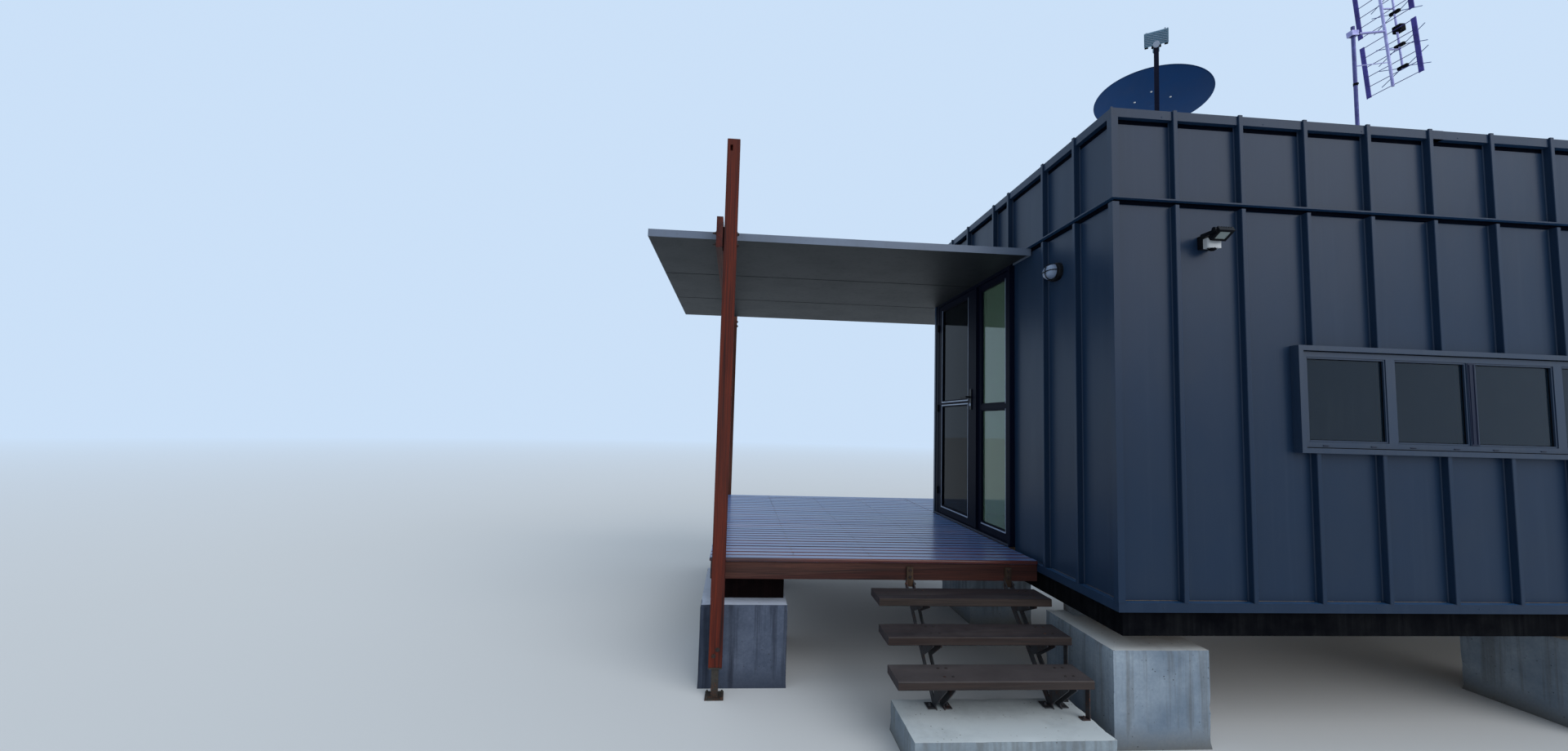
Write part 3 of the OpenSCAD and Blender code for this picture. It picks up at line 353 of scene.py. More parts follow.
def timberFinish(name, axis, light, dark, weather, wear, sheen, coat=0.0, veil=0.0, gloss=0.2, paleShare=0.0):
    mat, tree, shader = startFinish(name, {
        "Coat Weight": coat, "Coat Roughness": 0.2, "Sheen Weight": veil, "Sheen Roughness": 0.35,
        "Sheen Tint": veilTints["timber"], "Specular IOR Level": gloss})
    turned = {"x": (0, 0, 0), "y": (0, 0, -math.pi / 2), "z": (0, math.pi / 2, 0)}[axis]
    v = put(tree, "Mapping", {"Vector": place(tree), "Rotation": turned}).outputs[0]
    wood = useEffect(tree, shader, "timber",
                     {"Light": light, "Dark": dark, "Weather": weather, "Wear": wear, "Sheen": sheen}, v)
    if paleShare:  # a pale grey over the wood, most of it low down and on the tops
        p = place(tree)
        paleMask = spread(tree, timesPlus(tree, grains(tree, p, 9.0, 4.0, 0.6), 0.3, upward(tree, p)), 0.82, 0.46)
        paleMask = times(tree, paleMask, spread(tree, facingUp(tree), 0.3, 0.8, 0.15 * paleShare, paleShare))
        link(tree, mixed(tree, paleMask, wood, shade(92, 87, 88)), shader.inputs["Base Color"])
    return mat


def concreteFinish(name, light, dark, top, damp, foot, stain=(84, 78, 66)):  # foot: height of the splashes
    mat, tree, shader = startFinish(name, {"Specular IOR Level": 0.2})
    useEffect(tree, shader, "concrete", {"Light": light, "Dark": dark, "Top": top, "Damp": damp,
                                         "Foot": foot, "Stain": stain})
    return mat


def metalFinish(name, metal, bloom, crystal, rusting, sheen, metallic):
    mat, tree, shader = startFinish(name, {"Metallic": metallic})
    useEffect(tree, shader, "metal", {"Metal": metal, "Bloom": bloom, "Crystal": crystal,
                                      "Rusting": rusting, "Sheen": sheen})
    return mat


def mouldedFinish(name, coat, dirt, sheen, gloss, texture=500.0, metallic=0.0):
    mat, tree, shader = startFinish(name, {"Metallic": metallic, "Specular IOR Level": gloss})
    useEffect(tree, shader, "moulded", {"Coat": coat, "Dirt": dirt, "Sheen": sheen, "Texture": texture})
    return mat


def glassFinish(name, tint, mist, clear, gloss, ior):  # mist: how much dried rain and dust shows
    mat, tree, shader = startFinish(name, {"Transmission Weight": clear, "IOR": ior,
                                           "Specular IOR Level": gloss})
    p = place(tree)
    cloud = grains(tree, p, 4.0, 5.0, 0.65)
    fall = grains(tree, stretched(tree, p, (22.0, 22.0, 1.1)), 1.0, 4.0, 0.6)
    film = times(tree, spread(tree, cloud, 0.4, 0.75), spread(tree, fall, 0.35, 0.75))
    colour = mixed(tree, times(tree, film, mist), shade(*tint), shade(150, 160, 164))
    link(tree, colour, shader.inputs["Base Color"])
    link(tree, timesPlus(tree, film, 0.12, 0.015), shader.inputs["Roughness"])
    relief(tree, shader, grains(tree, p, 1.3, 1.0, 0.4), 0.25, 0.006)
    return mat


finishes = {}


def addFinishes(make, table):
    for key, values in table.items():
        finishes[key] = make(*values)


addFinishes(sheetFinish, {  # name, paint, dust, bow, dirt, sheen, bump, gloss, veil
    "cladding_steel": ("claddingPaint", (26, 45, 69), (104, 118, 134), 1.0, 0.06, 0.34, (0.5, 0.02), 0.2, 0.45),
    "roof_sheet": ("roofPaint", (150, 156, 160), (96, 92, 84), 0.5, 0.7, 0.5),
    # canopyPaint: darkened beyond the sheet's own colour, painted shade of the canopy's underside
    "canopy_sheet": ("canopyPaint", (36, 42, 47), (40, 46, 44), 0.25, 0.2, 0.5, (0.3, 0.01), 0.15),
    "canopy_trim": ("trimPaint", (104, 117, 138), (90, 94, 96), 0.2, 0.25, 0.4, (0.3, 0.01)),
})
addFinishes(timberFinish, {  # name, grain, light, dark, weather, wear, sheen, coat, veil, gloss, paleShare
    "floor_ply": ("floorPly", "y", (176, 148, 112), (140, 110, 78), (120, 108, 92), 0.25, 0.55),
    "post_timber": ("postTimber", "z", (114, 54, 36), (44, 21, 19), (88, 56, 50), 0.2, 0.55),
    "bearerTimber": ("bearerTimber", "y", (92, 38, 28), (38, 16, 18), (84, 52, 46), 0.15, 0.55),
    "deck_timber": ("deckTimber", "x", (112, 50, 38), (32, 14, 16), (84, 68, 78), 0.3, 0.34, 0.7, 0.8),
    "frame_timber": ("frameTimber", "x", (84, 44, 36), (40, 22, 22), (70, 54, 50), 0.25, 0.6),
    "joistTimber": ("joistTimber", "y", (40, 22, 20), (20, 12, 12), (40, 32, 30), 0.25, 0.7, 0.0, 0.0, 0.05),
    # a near-black copy of the timber, painted shade; used on the deck stubs and the bearer packers
    "stubTimber": ("stubTimber", "z", (22, 13, 14), (10, 7, 9), (24, 20, 20), 0.2, 0.8, 0.0, 0.0, 0.02),
    "cleatTimber": ("cleatTimber", "z", (84, 64, 48), (46, 34, 28), (70, 60, 50), 0.3, 0.6),
    "tread_timber": ("treadTimber", "x", (60, 46, 41), (18, 13, 14), (78, 72, 70), 0.3, 0.5, 0.02, 0.04, 0.2,
                     0.7),
})
addFinishes(concreteFinish, {  # name, light, dark, top, damp, foot, stain
    "concrete": ("castConcrete", (156, 170, 184), (104, 120, 138), (222, 228, 232), 0.4, 0.08),
    "padConcrete": ("padConcrete", (158, 172, 182), (112, 124, 136), (206, 216, 222), 0.35, 0.05),
    # shadedConcrete: a darker, bluer copy of the concrete with a navy stain, painted shade on the piers under
    # the deck
    "shadedConcrete": ("shadedConcrete", (98, 108, 128), (54, 64, 82), (200, 212, 234), 0.9, 0.06, (44, 50, 64)),
})
addFinishes(metalFinish, {  # name, metal, bloom, crystal, rusting, sheen, metallic
    "galvanised": ("galvanised", (150, 156, 160), (106, 112, 116), 90.0, 0.5, 0.42, 0.7),
    "stringerSteel": ("stringerSteel", (70, 72, 76), (40, 42, 48), 70.0, 0.6, 0.5, 0.4),
    "boltSteel": ("boltSteel", (48, 40, 38), (30, 26, 26), 70.0, 0.6, 0.55, 0.3),
    "shoeSteel": ("shoeSteel", (70, 66, 60), (42, 40, 38), 70.0, 0.9, 0.6, 0.4),
    "antenna_alloy": ("antennaAlloy", (190, 192, 232), (140, 140, 196), 60.0, 0.05, 0.4, 0.5),
    "mastAlloy": ("mastAlloy", (92, 94, 150), (60, 60, 112), 60.0, 0.05, 0.4, 0.6),
    "channelAlloy": ("channelAlloy", (74, 66, 150), (46, 40, 110), 60.0, 0.05, 0.45, 0.5),
    "rodAlloy": ("rodAlloy", (92, 118, 178), (60, 84, 140), 60.0, 0.05, 0.4, 0.4),
})
addFinishes(mouldedFinish, {  # name, coat, dirt, sheen, gloss, texture, metallic
    # near black: painted shade, strips set in the recesses under the belt lip and the capping
    "shadow_seal": ("shadowSeal", (1, 4, 16), 0.02, 0.8, 0.02),
    "wall_board": ("wallBoard", (196, 196, 190), 0.1, 0.75, 0.5, 120.0),
    "chassis_paint": ("chassisPaint", (4, 5, 10), 0.1, 0.8, 0.03, 240.0),
    "window_alloy": ("windowCoat", (34, 52, 76), 0.12, 0.36, 0.35),
    "door_alloy": ("doorCoat", (8, 15, 34), 0.02, 0.5, 0.03),
    # bright alloy for the lock, and painted highlights for the strips along the door glazing
    "edgeAlloy": ("edgeAlloy", (156, 176, 208), 0.1, 0.3, 0.5),
    # stileCoat: a darker copy of the window coat; on the recessed meeting stiles it is painted shade
    "stileCoat": ("stileCoat", (14, 26, 52), 0.08, 0.4, 0.2),
    "rubber": ("blackRubber", (7, 9, 15), 0.05, 0.7, 0.05, 700.0),
    "black_metal": ("blackCoat", (10, 12, 18), 0.1, 0.45, 0.15, 380.0),
    "light_plastic": ("palePlastic", (196, 200, 204), 0.35, 0.4, 0.5, 300.0),
    "dish_paint": ("dishPaint", (6, 48, 92), 0.05, 0.6, 0.1, 600.0),
    # feedFin paler than feedCasting: painted light on the fins and painted shade on the casting between them
    "feed_cast": ("feedCasting", (96, 132, 156), 0.2, 0.5, 0.5, 260.0, 0.2),
    "feedFin": ("feedFin", (170, 184, 206), 0.2, 0.5, 0.5, 260.0, 0.1),
    "armCoat": ("armCoat", (10, 16, 44), 0.03, 0.5, 0.2),
    "frostedDome": ("frostedDome", (128, 146, 174), 0.15, 0.3, 0.5, 300.0),
    "lampGlass": ("lampGlass", (150, 160, 158), 0.2, 0.2, 0.5, 300.0),
})
addFinishes(glassFinish, {  # name, tint, mist, clear, gloss, ior
    # tints partly painted reflection: window and leaf glass darkened for dark surroundings mirrored in them, the
    # fixed door light pale green for mirrored sky
    "window_glass": ("windowGlass", (50, 78, 104), 0.12, 0.9, 0.14, 1.36),
    "door_glass": ("doorGlass", (140, 178, 150), 0.3, 0.7, 0.5, 1.45),
    "leafGlass": ("leafGlass", (18, 36, 50), 0.04, 0.8, 0.1, 1.14),
})
ownFinishes = {  # parts that differ from the rest of their slot
    "canopy_bearer": "bearerTimber", "deck_joists": "joistTimber", "deck_stubs": "stubTimber",
    "beam_cleats": "cleatTimber", "bearer_packers": "stubTimber", "door_leaf_glass": "leafGlass",
    "stair_stringers": "stringerSteel", "post_shoes": "shoeSteel", "antenna_mast": "mastAlloy",
    "antenna_reflector": "channelAlloy", "antenna_elements": "rodAlloy", "dish_arm": "armCoat",
}


def dress(nodeName, key):
    mesh = nodes[nodeName].data
    mesh.materials.clear()
    mesh.materials.append(finishes[key])


for part in frame["record"]["subparts"]:
    dress(part["node"], part["material_slot"])
for nodeName, key in ownFinishes.items():
    dress(nodeName, key)
print("finishes made:", len(finishes))


# how pieces are made

mid = Vector((1.6305, 2.0605, 0.0))  # from the cabin's front corner, at the ground, to the frame's origin


def at(x, y, z):  # metres from the front corner at the door end, up from the ground
    return Vector((x, y, z)) - mid


def boxOf(nodeName):
    lo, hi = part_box(nodeName)
    return Vector(lo), Vector(hi)


def solidBoxes(nodeName, axis=0):  # the box of each separate solid of a node, in order along an axis
    mesh = nodes[nodeName].data
    parent = {}

    def root(i):
        while parent.get(i, i) != i:
            parent[i] = parent.get(parent[i], parent[i])
            i = parent[i]
        return i

    spots = {}
    for v in mesh.vertices:
        first = spots.setdefault(tuple(round(c, 5) for c in v.co), v.index)
        parent[root(v.index)] = root(first)
    for p in mesh.polygons:
        first = root(p.vertices[0])
        for i in p.vertices[1:]:
            parent[root(i)] = first
    groups = {}
    for v in mesh.vertices:
        groups.setdefault(root(v.index), []).append(v.co)
    boxes = [tuple(Vector([pick(c[a] for c in cos) for a in range(3)]) for pick in (min, max))
             for cos in groups.values()]
    return sorted(boxes, key=lambda b: (b[0][axis], *b[0]))


def emptyMeshes(count):
    return [bmesh.new() for _ in range(count)]


def evenly(start, stop, every):  # start and each step after it, below stop
    spots = []
    while start < stop:
        spots.append(start)
        start += every
    return spots


def addBlock(bm, lo, hi, ease=0.0, steps=1):  # ease, steps: width of rounded edges, faces across
    made = bmesh.ops.create_cube(bm, size=1.0)["verts"]
    for v in made:
        v.co = Vector([lo[i] + (v.co[i] + 0.5) * (hi[i] - lo[i]) for i in range(3)])
    if ease:
        edges = list(dict.fromkeys(e for v in made for e in v.link_edges))  # each once, in a fixed order
        bmesh.ops.bevel(bm, geom=edges, offset=ease, segments=steps, profile=0.5, affect="EDGES")


def addRing(bm, axis, near, far, lo, hi, w, ease=0.0):  # a flat frame across an axis, from near to far
    a, b = [i for i in range(3) if i != axis]
    for a0, a1, b0, b1 in ((lo[0], lo[0] + w, lo[1], hi[1]), (hi[0] - w, hi[0], lo[1], hi[1]),
                           (lo[0] + w, hi[0] - w, lo[1], lo[1] + w), (lo[0] + w, hi[0] - w, hi[1] - w, hi[1])):
        p, q = Vector((0, 0, 0)), Vector((0, 0, 0))
        p[axis], q[axis] = near, far
        p[a], q[a] = a0, a1
        p[b], q[b] = b0, b1
        addBlock(bm, p, q, ease)


def addLoft(bm, loops):  # loops of points joined in turn, both ends closed
    rows = [[bm.verts.new(p) for p in loop] for loop in loops]
    for a, b in zip(rows, rows[1:]):
        for k in range(len(a)):
            m = (k + 1) % len(a)
            bm.faces.new((a[k], a[m], b[m], b[k]))
    bm.faces.new(rows[0][::-1])
    bm.faces.new(rows[-1])


def addTurned(bm, spot, direction, rings, sides=12):  # rings: (distance along, radius) pairs
    turn = Vector(direction).normalized().to_track_quat("Z", "Y").to_matrix()
    angles = [2 * math.pi * k / sides for k in range(sides)]
    addLoft(bm, [[Vector(spot) + turn @ Vector((r * math.cos(a), r * math.sin(a), far)) for a in angles]
                 for far, r in rings])


def addRod(bm, a, b, r):
    addTurned(bm, a, b - a, [(0, r), ((b - a).length, r)], 8)


headShapes = {  # (up, out) as shares of a head's height and radius
    "washer": ((0, 1.75), (0.22, 1.75), (0.28, 1.65)), "hexagon": ((0, 1), (0.62, 1), (0.76, 0.84)),
    "pan": ((0, 1), (0.45, 1), (0.85, 0.72), (1, 0.3)),
}


def addHead(bm, spot, direction, shape, r, h, sides):
    addTurned(bm, spot, direction, [(h * up, r * out) for up, out in headShapes[shape]], sides)


def addBolt(bm, spot, direction, r, h):  # washer and chamfered hexagon head
    d, seat = Vector(direction).normalized(), 0.26
    addHead(bm, spot, d, "washer", r, h, 20)
    addHead(bm, Vector(spot) + d * h * seat, d, "hexagon", r, h, 6)


def addPan(bm, spot, direction, r, h, sides=10):  # low domed screw or rivet head
    addHead(bm, spot, direction, "pan", r, h, sides)


def addRib(bm, axis, ends, across, foot, wide, high):  # a folded rib along x (0) or y (1)
    half, crown = wide / 2, wide / 3.4
    profile = ((-half, 0), (-crown, high), (crown, high), (half, 0))
    addLoft(bm, [[(end, across + d, foot + h) if axis == 0 else (across + d, end, foot + h)
                  for d, h in profile] for end in ends])


sharpAngle = math.radians(35)  # smooth pieces keep an edge where they turn more than this


def newPiece(name, bm, finish, replaced=None, smooth=False, body="cabin"):
    bmesh.ops.recalc_face_normals(bm, faces=bm.faces)
    mesh = bpy.data.meshes.new(name)
    bm.to_mesh(mesh)
    bm.free()
    mesh.materials.append(finishes[finish])
    if smooth:
        mesh.shade_smooth()
        mesh.set_sharp_from_angle(angle=sharpAngle)
    piece = bpy.data.objects.new(name, mesh)
    scene.collection.objects.link(piece)
    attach(piece, body)
    if replaced:
        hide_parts(replaced)


# deck

deckSettings = {
    "front": 0.8453, "back": 4.1497, "outer": -2.2, "wall": -0.0003, "low": 0.820, "top": 0.845,
    "boards": 35, "gap": 0.010, "ease": (0.008, 3), "uneven": 0.0009, "ragged": 0.004,
    "wingEnd": 0.45, "wingFrom": 3.005, "wingGap": 0.0006, "wingReach": 0.06,
    "joists": (-2.1675, -1.644, -1.12, -0.597, -0.045), "screw": 0.0042, "screwIn": 0.020, "stray": 0.003,
    "screwHead": ((0, 1), (0.0011, 0.96), (0.0013, 0.7)),  # up in metres, out as a share of the radius
}


def makeDeck(s):
    boards, screws = emptyMeshes(2)
    pitch = (s["back"] - s["front"] + s["gap"]) / s["boards"]
    stray, head = s["stray"], [(up, s["screw"] * out) for up, out in s["screwHead"]]
    for n in range(s["boards"]):
        y = s["front"] + n * pitch
        far = y + pitch - s["gap"]
        top = s["top"] - rng.uniform(0.0, s["uneven"])
        out = rng.uniform(0.0, s["ragged"])
        addBlock(boards, at(s["outer"] + out, y, s["low"]), at(s["wall"], far, top), *s["ease"])
        if y >= s["wingFrom"] - s["wingReach"]:
            addBlock(boards, at(s["wall"] + s["wingGap"], max(y, s["wingFrom"]), s["low"]),
                     at(s["wingEnd"], far, top), *s["ease"])
        for x in s["joists"]:
            for py in (y + s["screwIn"], far - s["screwIn"]):
                spot = at(x + rng.uniform(-stray, stray), py + rng.uniform(-stray, stray),
                          s["top"] - s["uneven"])
                addTurned(screws, spot, (0, 0, 1), head, 8)
    newPiece("deckBoards", boards, "deck_timber", replaced="deck_boards")
    newPiece("deckScrews", screws, "galvanised", smooth=True)
    print("deck laid:", s["boards"], "boards")


makeDeck(deckSettings)


# concrete

concreteSettings = {
    "casts": (("cabin_piers", "cabinPiers", "concrete"), ("step_pad", "stepPad", "padConcrete"),
              ("deck_piers", "deckPiers", "shadedConcrete")),
    "cell": 0.032, "ripple": 0.0007, "rippleScale": 6.0, "arris": 0.003, "arrisReach": 0.004,
    "chip": 0.006, "chipScale": 9.0, "chipRare": 0.12, "chipGain": 1.6,
    "crumbScale": 31.0, "crumbRare": 0.2, "crumbShare": 0.5, "plainFoot": 0.02, "seedStep": (3.7, 1.9, 0.7),
}


def castBlock(bm, lo, hi, s, seed):  # small faces, rippled sides, worn and chipped arrises
    size = [hi[i] - lo[i] for i in range(3)]
    counts = [max(3, round(d / s["cell"])) for d in size]
    seedShift = Vector([seed * step for step in s["seedStep"]])
    onFace = 1e-6
    made = {}

    def corner(*key):
        if key not in made:
            p = Vector([lo[a] + size[a] * v / counts[a] for a, v in enumerate(key)])
            q = p + seedShift
            near = sorted((min(p[a] - lo[a], hi[a] - p[a]), a) for a in range(3))
            out = Vector((0, 0, 0))
            for d, a in near:
                if d < onFace:
                    out[a] = 1.0 if p[a] > (lo[a] + hi[a]) / 2 else -1.0
            sink = s["ripple"] * (0.5 + noise.noise(q * s["rippleScale"]))
            if near[1][0] < s["arrisReach"] and p.z > lo[2] + s["plainFoot"]:
                chips = max(0.0, noise.noise(q * s["chipScale"]) - s["chipRare"])
                crumbs = s["crumbShare"] * max(0.0, noise.noise(q * s["crumbScale"]) - s["crumbRare"])
                sink += s["arris"] + s["chip"] * min(1.0, (chips + crumbs) * s["chipGain"])
            made[key] = bm.verts.new(p - out * sink if p.z > lo[2] + onFace else p)
        return made[key]

    for axis in range(3):
        b, c = [a for a in range(3) if a != axis]
        for end in (0, counts[axis]):
            for m in range(counts[b]):
                for n in range(counts[c]):
                    quad = []
                    for dm, dn in ((0, 0), (1, 0), (1, 1), (0, 1)):
                        key = [0, 0, 0]
                        key[axis], key[b], key[c] = end, m + dm, n + dn
                        quad.append(corner(*key))
                    bm.faces.new(quad)


def makeConcrete(s):
    for nodeName, pieceName, finish in s["casts"]:
        bm = bmesh.new()
        for n, (lo, hi) in enumerate(solidBoxes(nodeName)):
            castBlock(bm, lo, hi, s, n + len(pieceName))
        newPiece(pieceName, bm, finish, nodeName, smooth=True)
    print("concrete cast")


makeConcrete(concreteSettings)


# posts and their steel

postSettings = {"holeWide": 0.018, "holeHigh": 0.042, "holeDeep": 0.035, "holeDrop": 0.064, "holeSide": 0.34,
                "ease": (0.004, 2), "onFace": 0.001}


def makePosts(s):
    bm = bmesh.new()
    for lo, hi in solidBoxes("canopy_posts"):
        post = bmesh.new()
        addBlock(post, lo, hi, *s["ease"])
        x = lo.x + s["holeSide"] * (hi.x - lo.x)
        z = hi.z - s["holeDrop"]
        w, h = s["holeWide"] / 2, s["holeHigh"] / 2
        for co, no in (((x - w, 0, 0), (1, 0, 0)), ((x + w, 0, 0), (1, 0, 0)),
                       ((0, 0, z - h), (0, 0, 1)), ((0, 0, z + h), (0, 0, 1))):
            bmesh.ops.bisect_plane(post, geom=post.verts[:] + post.edges[:] + post.faces[:],
                                   plane_co=co, plane_no=no)
        post.normal_update()
        hole = []
        for f in post.faces:
            c = f.calc_center_median()
            if c.y < lo.y + s["onFace"] and abs(c.x - x) < w and abs(c.z - z) < h:
                hole.append(f)
        sunk = bmesh.ops.extrude_discrete_faces(post, faces=hole)["faces"]
        bmesh.ops.translate(post, verts=list({v for f in sunk for v in f.verts}), vec=(0, s["holeDeep"], 0))
        part = bpy.data.meshes.new("part")
        post.to_mesh(part)
        post.free()
        bm.from_mesh(part)
        bpy.data.meshes.remove(part)
    newPiece("canopyPosts", bm, "post_timber", replaced="canopy_posts")
    print("posts stood")


boltSettings = {
    "r": 0.0095, "h": 0.013, "bearer": ((2.966, 2.891), (2.945, 2.891)),
    "thread": ((0, 0.006), (0.016, 0.006), (0.018, 0.005)), "threadFrom": 0.5,  # a share of h
    "foot": ((0.262, -0.012), (0.300, 0.012)), "shoe": 0.047, "shoeTop": 0.008, "anchor": (0.0065, 0.011),
    "cleats": (-0.208, -0.878), "cleatHeights": (0.776, 0.732),
    "coach": 0.0085, "coachRows": (0.062, 0.172), "coachSide": 0.023, "coachSides": 14,
    "coachHead": ((-0.001, 1), (0.0015, 0.95), (0.0035, 0.6)), "coachTip": (0.0042, 0.002),
    "plateSide": 0.0263, "plateBolts": ((0.800, 0.640), (0.838, 0.690)),
    "footSize": (0.8, 0.8), "cleatSize": (0.75, 0.7), "plateSize": (0.7, 0.7),  # shares of r and h
}


def makeBolts(s):
    heads, shoes = emptyMeshes(2)
    r, h, shoe = s["r"], s["h"], s["shoe"]
    coach = [(up, s["coach"] * out) for up, out in s["coachHead"]] + [s["coachTip"]]
    back = boxOf("canopy_bearer")[0].x

    def addSmaller(spot, direction, share):
        addBolt(heads, spot, direction, r * share[0], h * share[1])

    for (lo, hi), heights in zip(solidBoxes("canopy_posts", 1), s["bearer"]):
        y, x = (lo.y + hi.y) / 2, (lo.x + hi.x) / 2
        for z in heights:
            addBolt(heads, (hi.x, y, z), (1, 0, 0), r, h)
            addBolt(heads, (back, y, z), (-1, 0, 0), r, h)
            addTurned(heads, (back - h * s["threadFrom"], y, z), (-1, 0, 0), s["thread"])
        for z, side in s["foot"]:
            for face, d in ((lo.y, -1), (hi.y, 1)):
                addSmaller((x + side, face, z), (0, d, 0), s["footSize"])
        for dx in (-shoe, shoe):
            for dy in (-shoe, shoe):
                addBolt(shoes, (x + dx, y + dy, s["shoeTop"]), (0, 0, 1), *s["anchor"])
    front = boxOf("beam_cleats")[0].y
    for x in s["cleats"]:
        px = at(x, 0, 0).x
        for z in s["cleatHeights"]:
            addSmaller((px, front, z), (0, -1, 0), s["cleatSize"])
        for lo, hi in solidBoxes("stair_treads", 1):
            for dy in s["coachRows"]:
                for dx in (s["coachSide"], -s["coachSide"]):
                    addTurned(heads, (px + dx, lo.y + dy, hi.z), (0, 0, 1), coach, s["coachSides"])
        for side in (-s["plateSide"], s["plateSide"]):
            for y, z in s["plateBolts"]:
                addSmaller(at(x + side, y, z), (side, 0, 0), s["plateSize"])
    newPiece("boltHeads", heads, "boltSteel", smooth=True)
    newPiece("shoeAnchors", shoes, "shoeSteel", smooth=True)
    print("bolts set")


stepSettings = {
    "plate": 0.006, "ease": 0.0008, "air": 0.0003, "pad": 0.170,
    "legs": ((0.105, 0.145), (0.320, 0.360)), "legDrop": 0.004, "legBoltIn": 0.012, "legBolt": (0.0055, 0.008),
    "tab": 0.040, "tabBolt": (0.006, 0.010),
    "feet": (-0.208, -0.878), "footX": 0.0266, "footWide": 0.042, "footY": (0.246, 0.322),
    "footBoltX": 0.050, "footBolt": (0.0065, 0.011),
}


def makeStepSteel(s):
    bm = bmesh.new()
    low, top, ease = s["pad"], s["pad"] + s["plate"], s["ease"]
    for (y0, y1), (lo, hi) in zip(s["legs"], solidBoxes("stair_treads", 1)):
        inner, outer = hi.x + s["air"], hi.x + s["air"] + s["plate"]
        front, back = at(0, y0, 0).y, at(0, y1, 0).y
        addBlock(bm, (inner, front, low), (outer, back, hi.z - s["legDrop"]), ease)
        addBlock(bm, (inner - s["tab"], front, low), (inner, back, top), ease)
        addBolt(bm, (inner - s["tab"] / 2, (front + back) / 2, top), (0, 0, 1), *s["tabBolt"])
        for y in (front + s["legBoltIn"], back - s["legBoltIn"]):
            addBolt(bm, (outer, y, (lo.z + hi.z) / 2), (1, 0, 0), *s["legBolt"])
    near, far = s["footY"]
    for x in s["feet"]:
        for side in (-1, 1):
            a, b = sorted((x + side * s["footX"], x + side * (s["footX"] + s["footWide"])))
            addBlock(bm, at(a, near, low), at(b, far, top), ease)
            addBolt(bm, at(x + side * s["footBoltX"], (near + far) / 2, top), (0, 0, 1), *s["footBolt"])
    newPiece("stepBrackets", bm, "stringerSteel", smooth=True)
    print("step brackets set")


makePosts(postSettings)
makeBolts(boltSettings)
makeStepSteel(stepSettings)


# window

def addPaneRings(beads, rubber, axis, bead, gasket, lo, hi, s):  # bead and gasket: where each lies on the axis
    a, b = [i for i in range(3) if i != axis]
    w = s["bead"]
    addRing(beads, axis, *sorted(bead), (lo[a], lo[b]), (hi[a], hi[b]), w, s["beadEase"])
    addRing(rubber, axis, *sorted(gasket), (lo[a] + w, lo[b] + w), (hi[a] - w, hi[b] - w), s["gasket"])


windowSettings = {
    "bead": 0.009, "beadBack": 0.004, "beadAir": 0.0004, "gasket": 0.003, "gasketOut": (0.0035, 0.0003),
    "beadEase": 0.0012, "weepEase": (0.0015, 2), "stileEase": 0.001, "finEase": 0.0008,
    "groove": 0.0045, "grooveOut": 0.0012, "grooveIn": 0.0004, "grooveSide": 0.0002,
    "weepWide": 0.034, "weepHigh": 0.006, "weepOut": 0.004, "weepDrop": 0.024,
    "interlocks": (1, 3), "stileLap": 0.004, "stileOut": 0.003, "stileIn": 0.0005,
    "finWide": 0.004, "finOut": 0.006, "finIn": 0.002, "finShort": 0.010, "pairAt": (0.2, 0.8),
}


def makeWindow(s):
    beads, rubber, stiles = emptyMeshes(3)
    sash = boxOf("window_sash")
    face = sash[0].y
    panes = solidBoxes("window_glass")
    for lo, hi in panes:
        addPaneRings(beads, rubber, 1, (face + s["beadBack"], lo.y - s["beadAir"]),
                     [lo.y - d for d in s["gasketOut"]], lo, hi, s)
        foot = lo.z - s["weepDrop"]
        for k in s["pairAt"]:
            x = lo.x + k * (hi.x - lo.x)
            addBlock(stiles, (x - s["weepWide"] / 2, face - s["weepOut"], foot),
                     (x + s["weepWide"] / 2, face, foot + s["weepHigh"]), *s["weepEase"])
    for k in s["interlocks"]:
        a, b = panes[k][1].x + s["stileLap"], panes[k + 1][0].x - s["stileLap"]
        low, high = panes[k][0].z, panes[k][1].z
        addBlock(stiles, (a, face - s["stileOut"], low), (b, face + s["stileIn"], high), s["stileEase"])
        for f in s["pairAt"]:
            x = a + f * (b - a)
            addBlock(stiles, (x - s["finWide"] / 2, face - s["finOut"], low + s["finShort"]),
                     (x + s["finWide"] / 2, face - s["finIn"], high - s["finShort"]), s["finEase"])
    # a black ring round the sash: painted shade of the gap between the surround and the sash
    g = s["grooveSide"]
    addRing(rubber, 1, face - s["grooveOut"], face + s["grooveIn"], (sash[0].x - g, sash[0].z - g),
            (sash[1].x + g, sash[1].z + g), s["groove"])
    newPiece("windowBeads", beads, "window_alloy")
    newPiece("windowGasketsAndShadowRing", rubber, "rubber")
    newPiece("windowStiles", stiles, "stileCoat")
    print("window glazed:", len(panes), "panes")


makeWindow(windowSettings)


# door set

doorSettings = {
    "bead": 0.010, "beadBack": 0.003, "beadEase": 0.001, "air": 0.0004, "gasket": 0.003, "ease": 0.0006,
    "edge": 0.008, "edgeIn": (0.0005, 0.006), "strip": 0.010, "stripOut": 0.0012, "stripIn": 0.004,
    "lockSide": 0.070, "lockUp": 0.045, "lockOut": 0.008,
    "lock": ((-0.001, 0.014), (0.003, 0.014), (0.004, 0.012)), "lockSides": 18,
    "keyOut": 0.0055, "keyWide": 0.003, "keyUp": (0.039, 0.051),
    "noseOut": 0.014, "noseShort": 0.002, "nose": (0.8515, 0.8675), "noseEase": (0.002, 2),
}


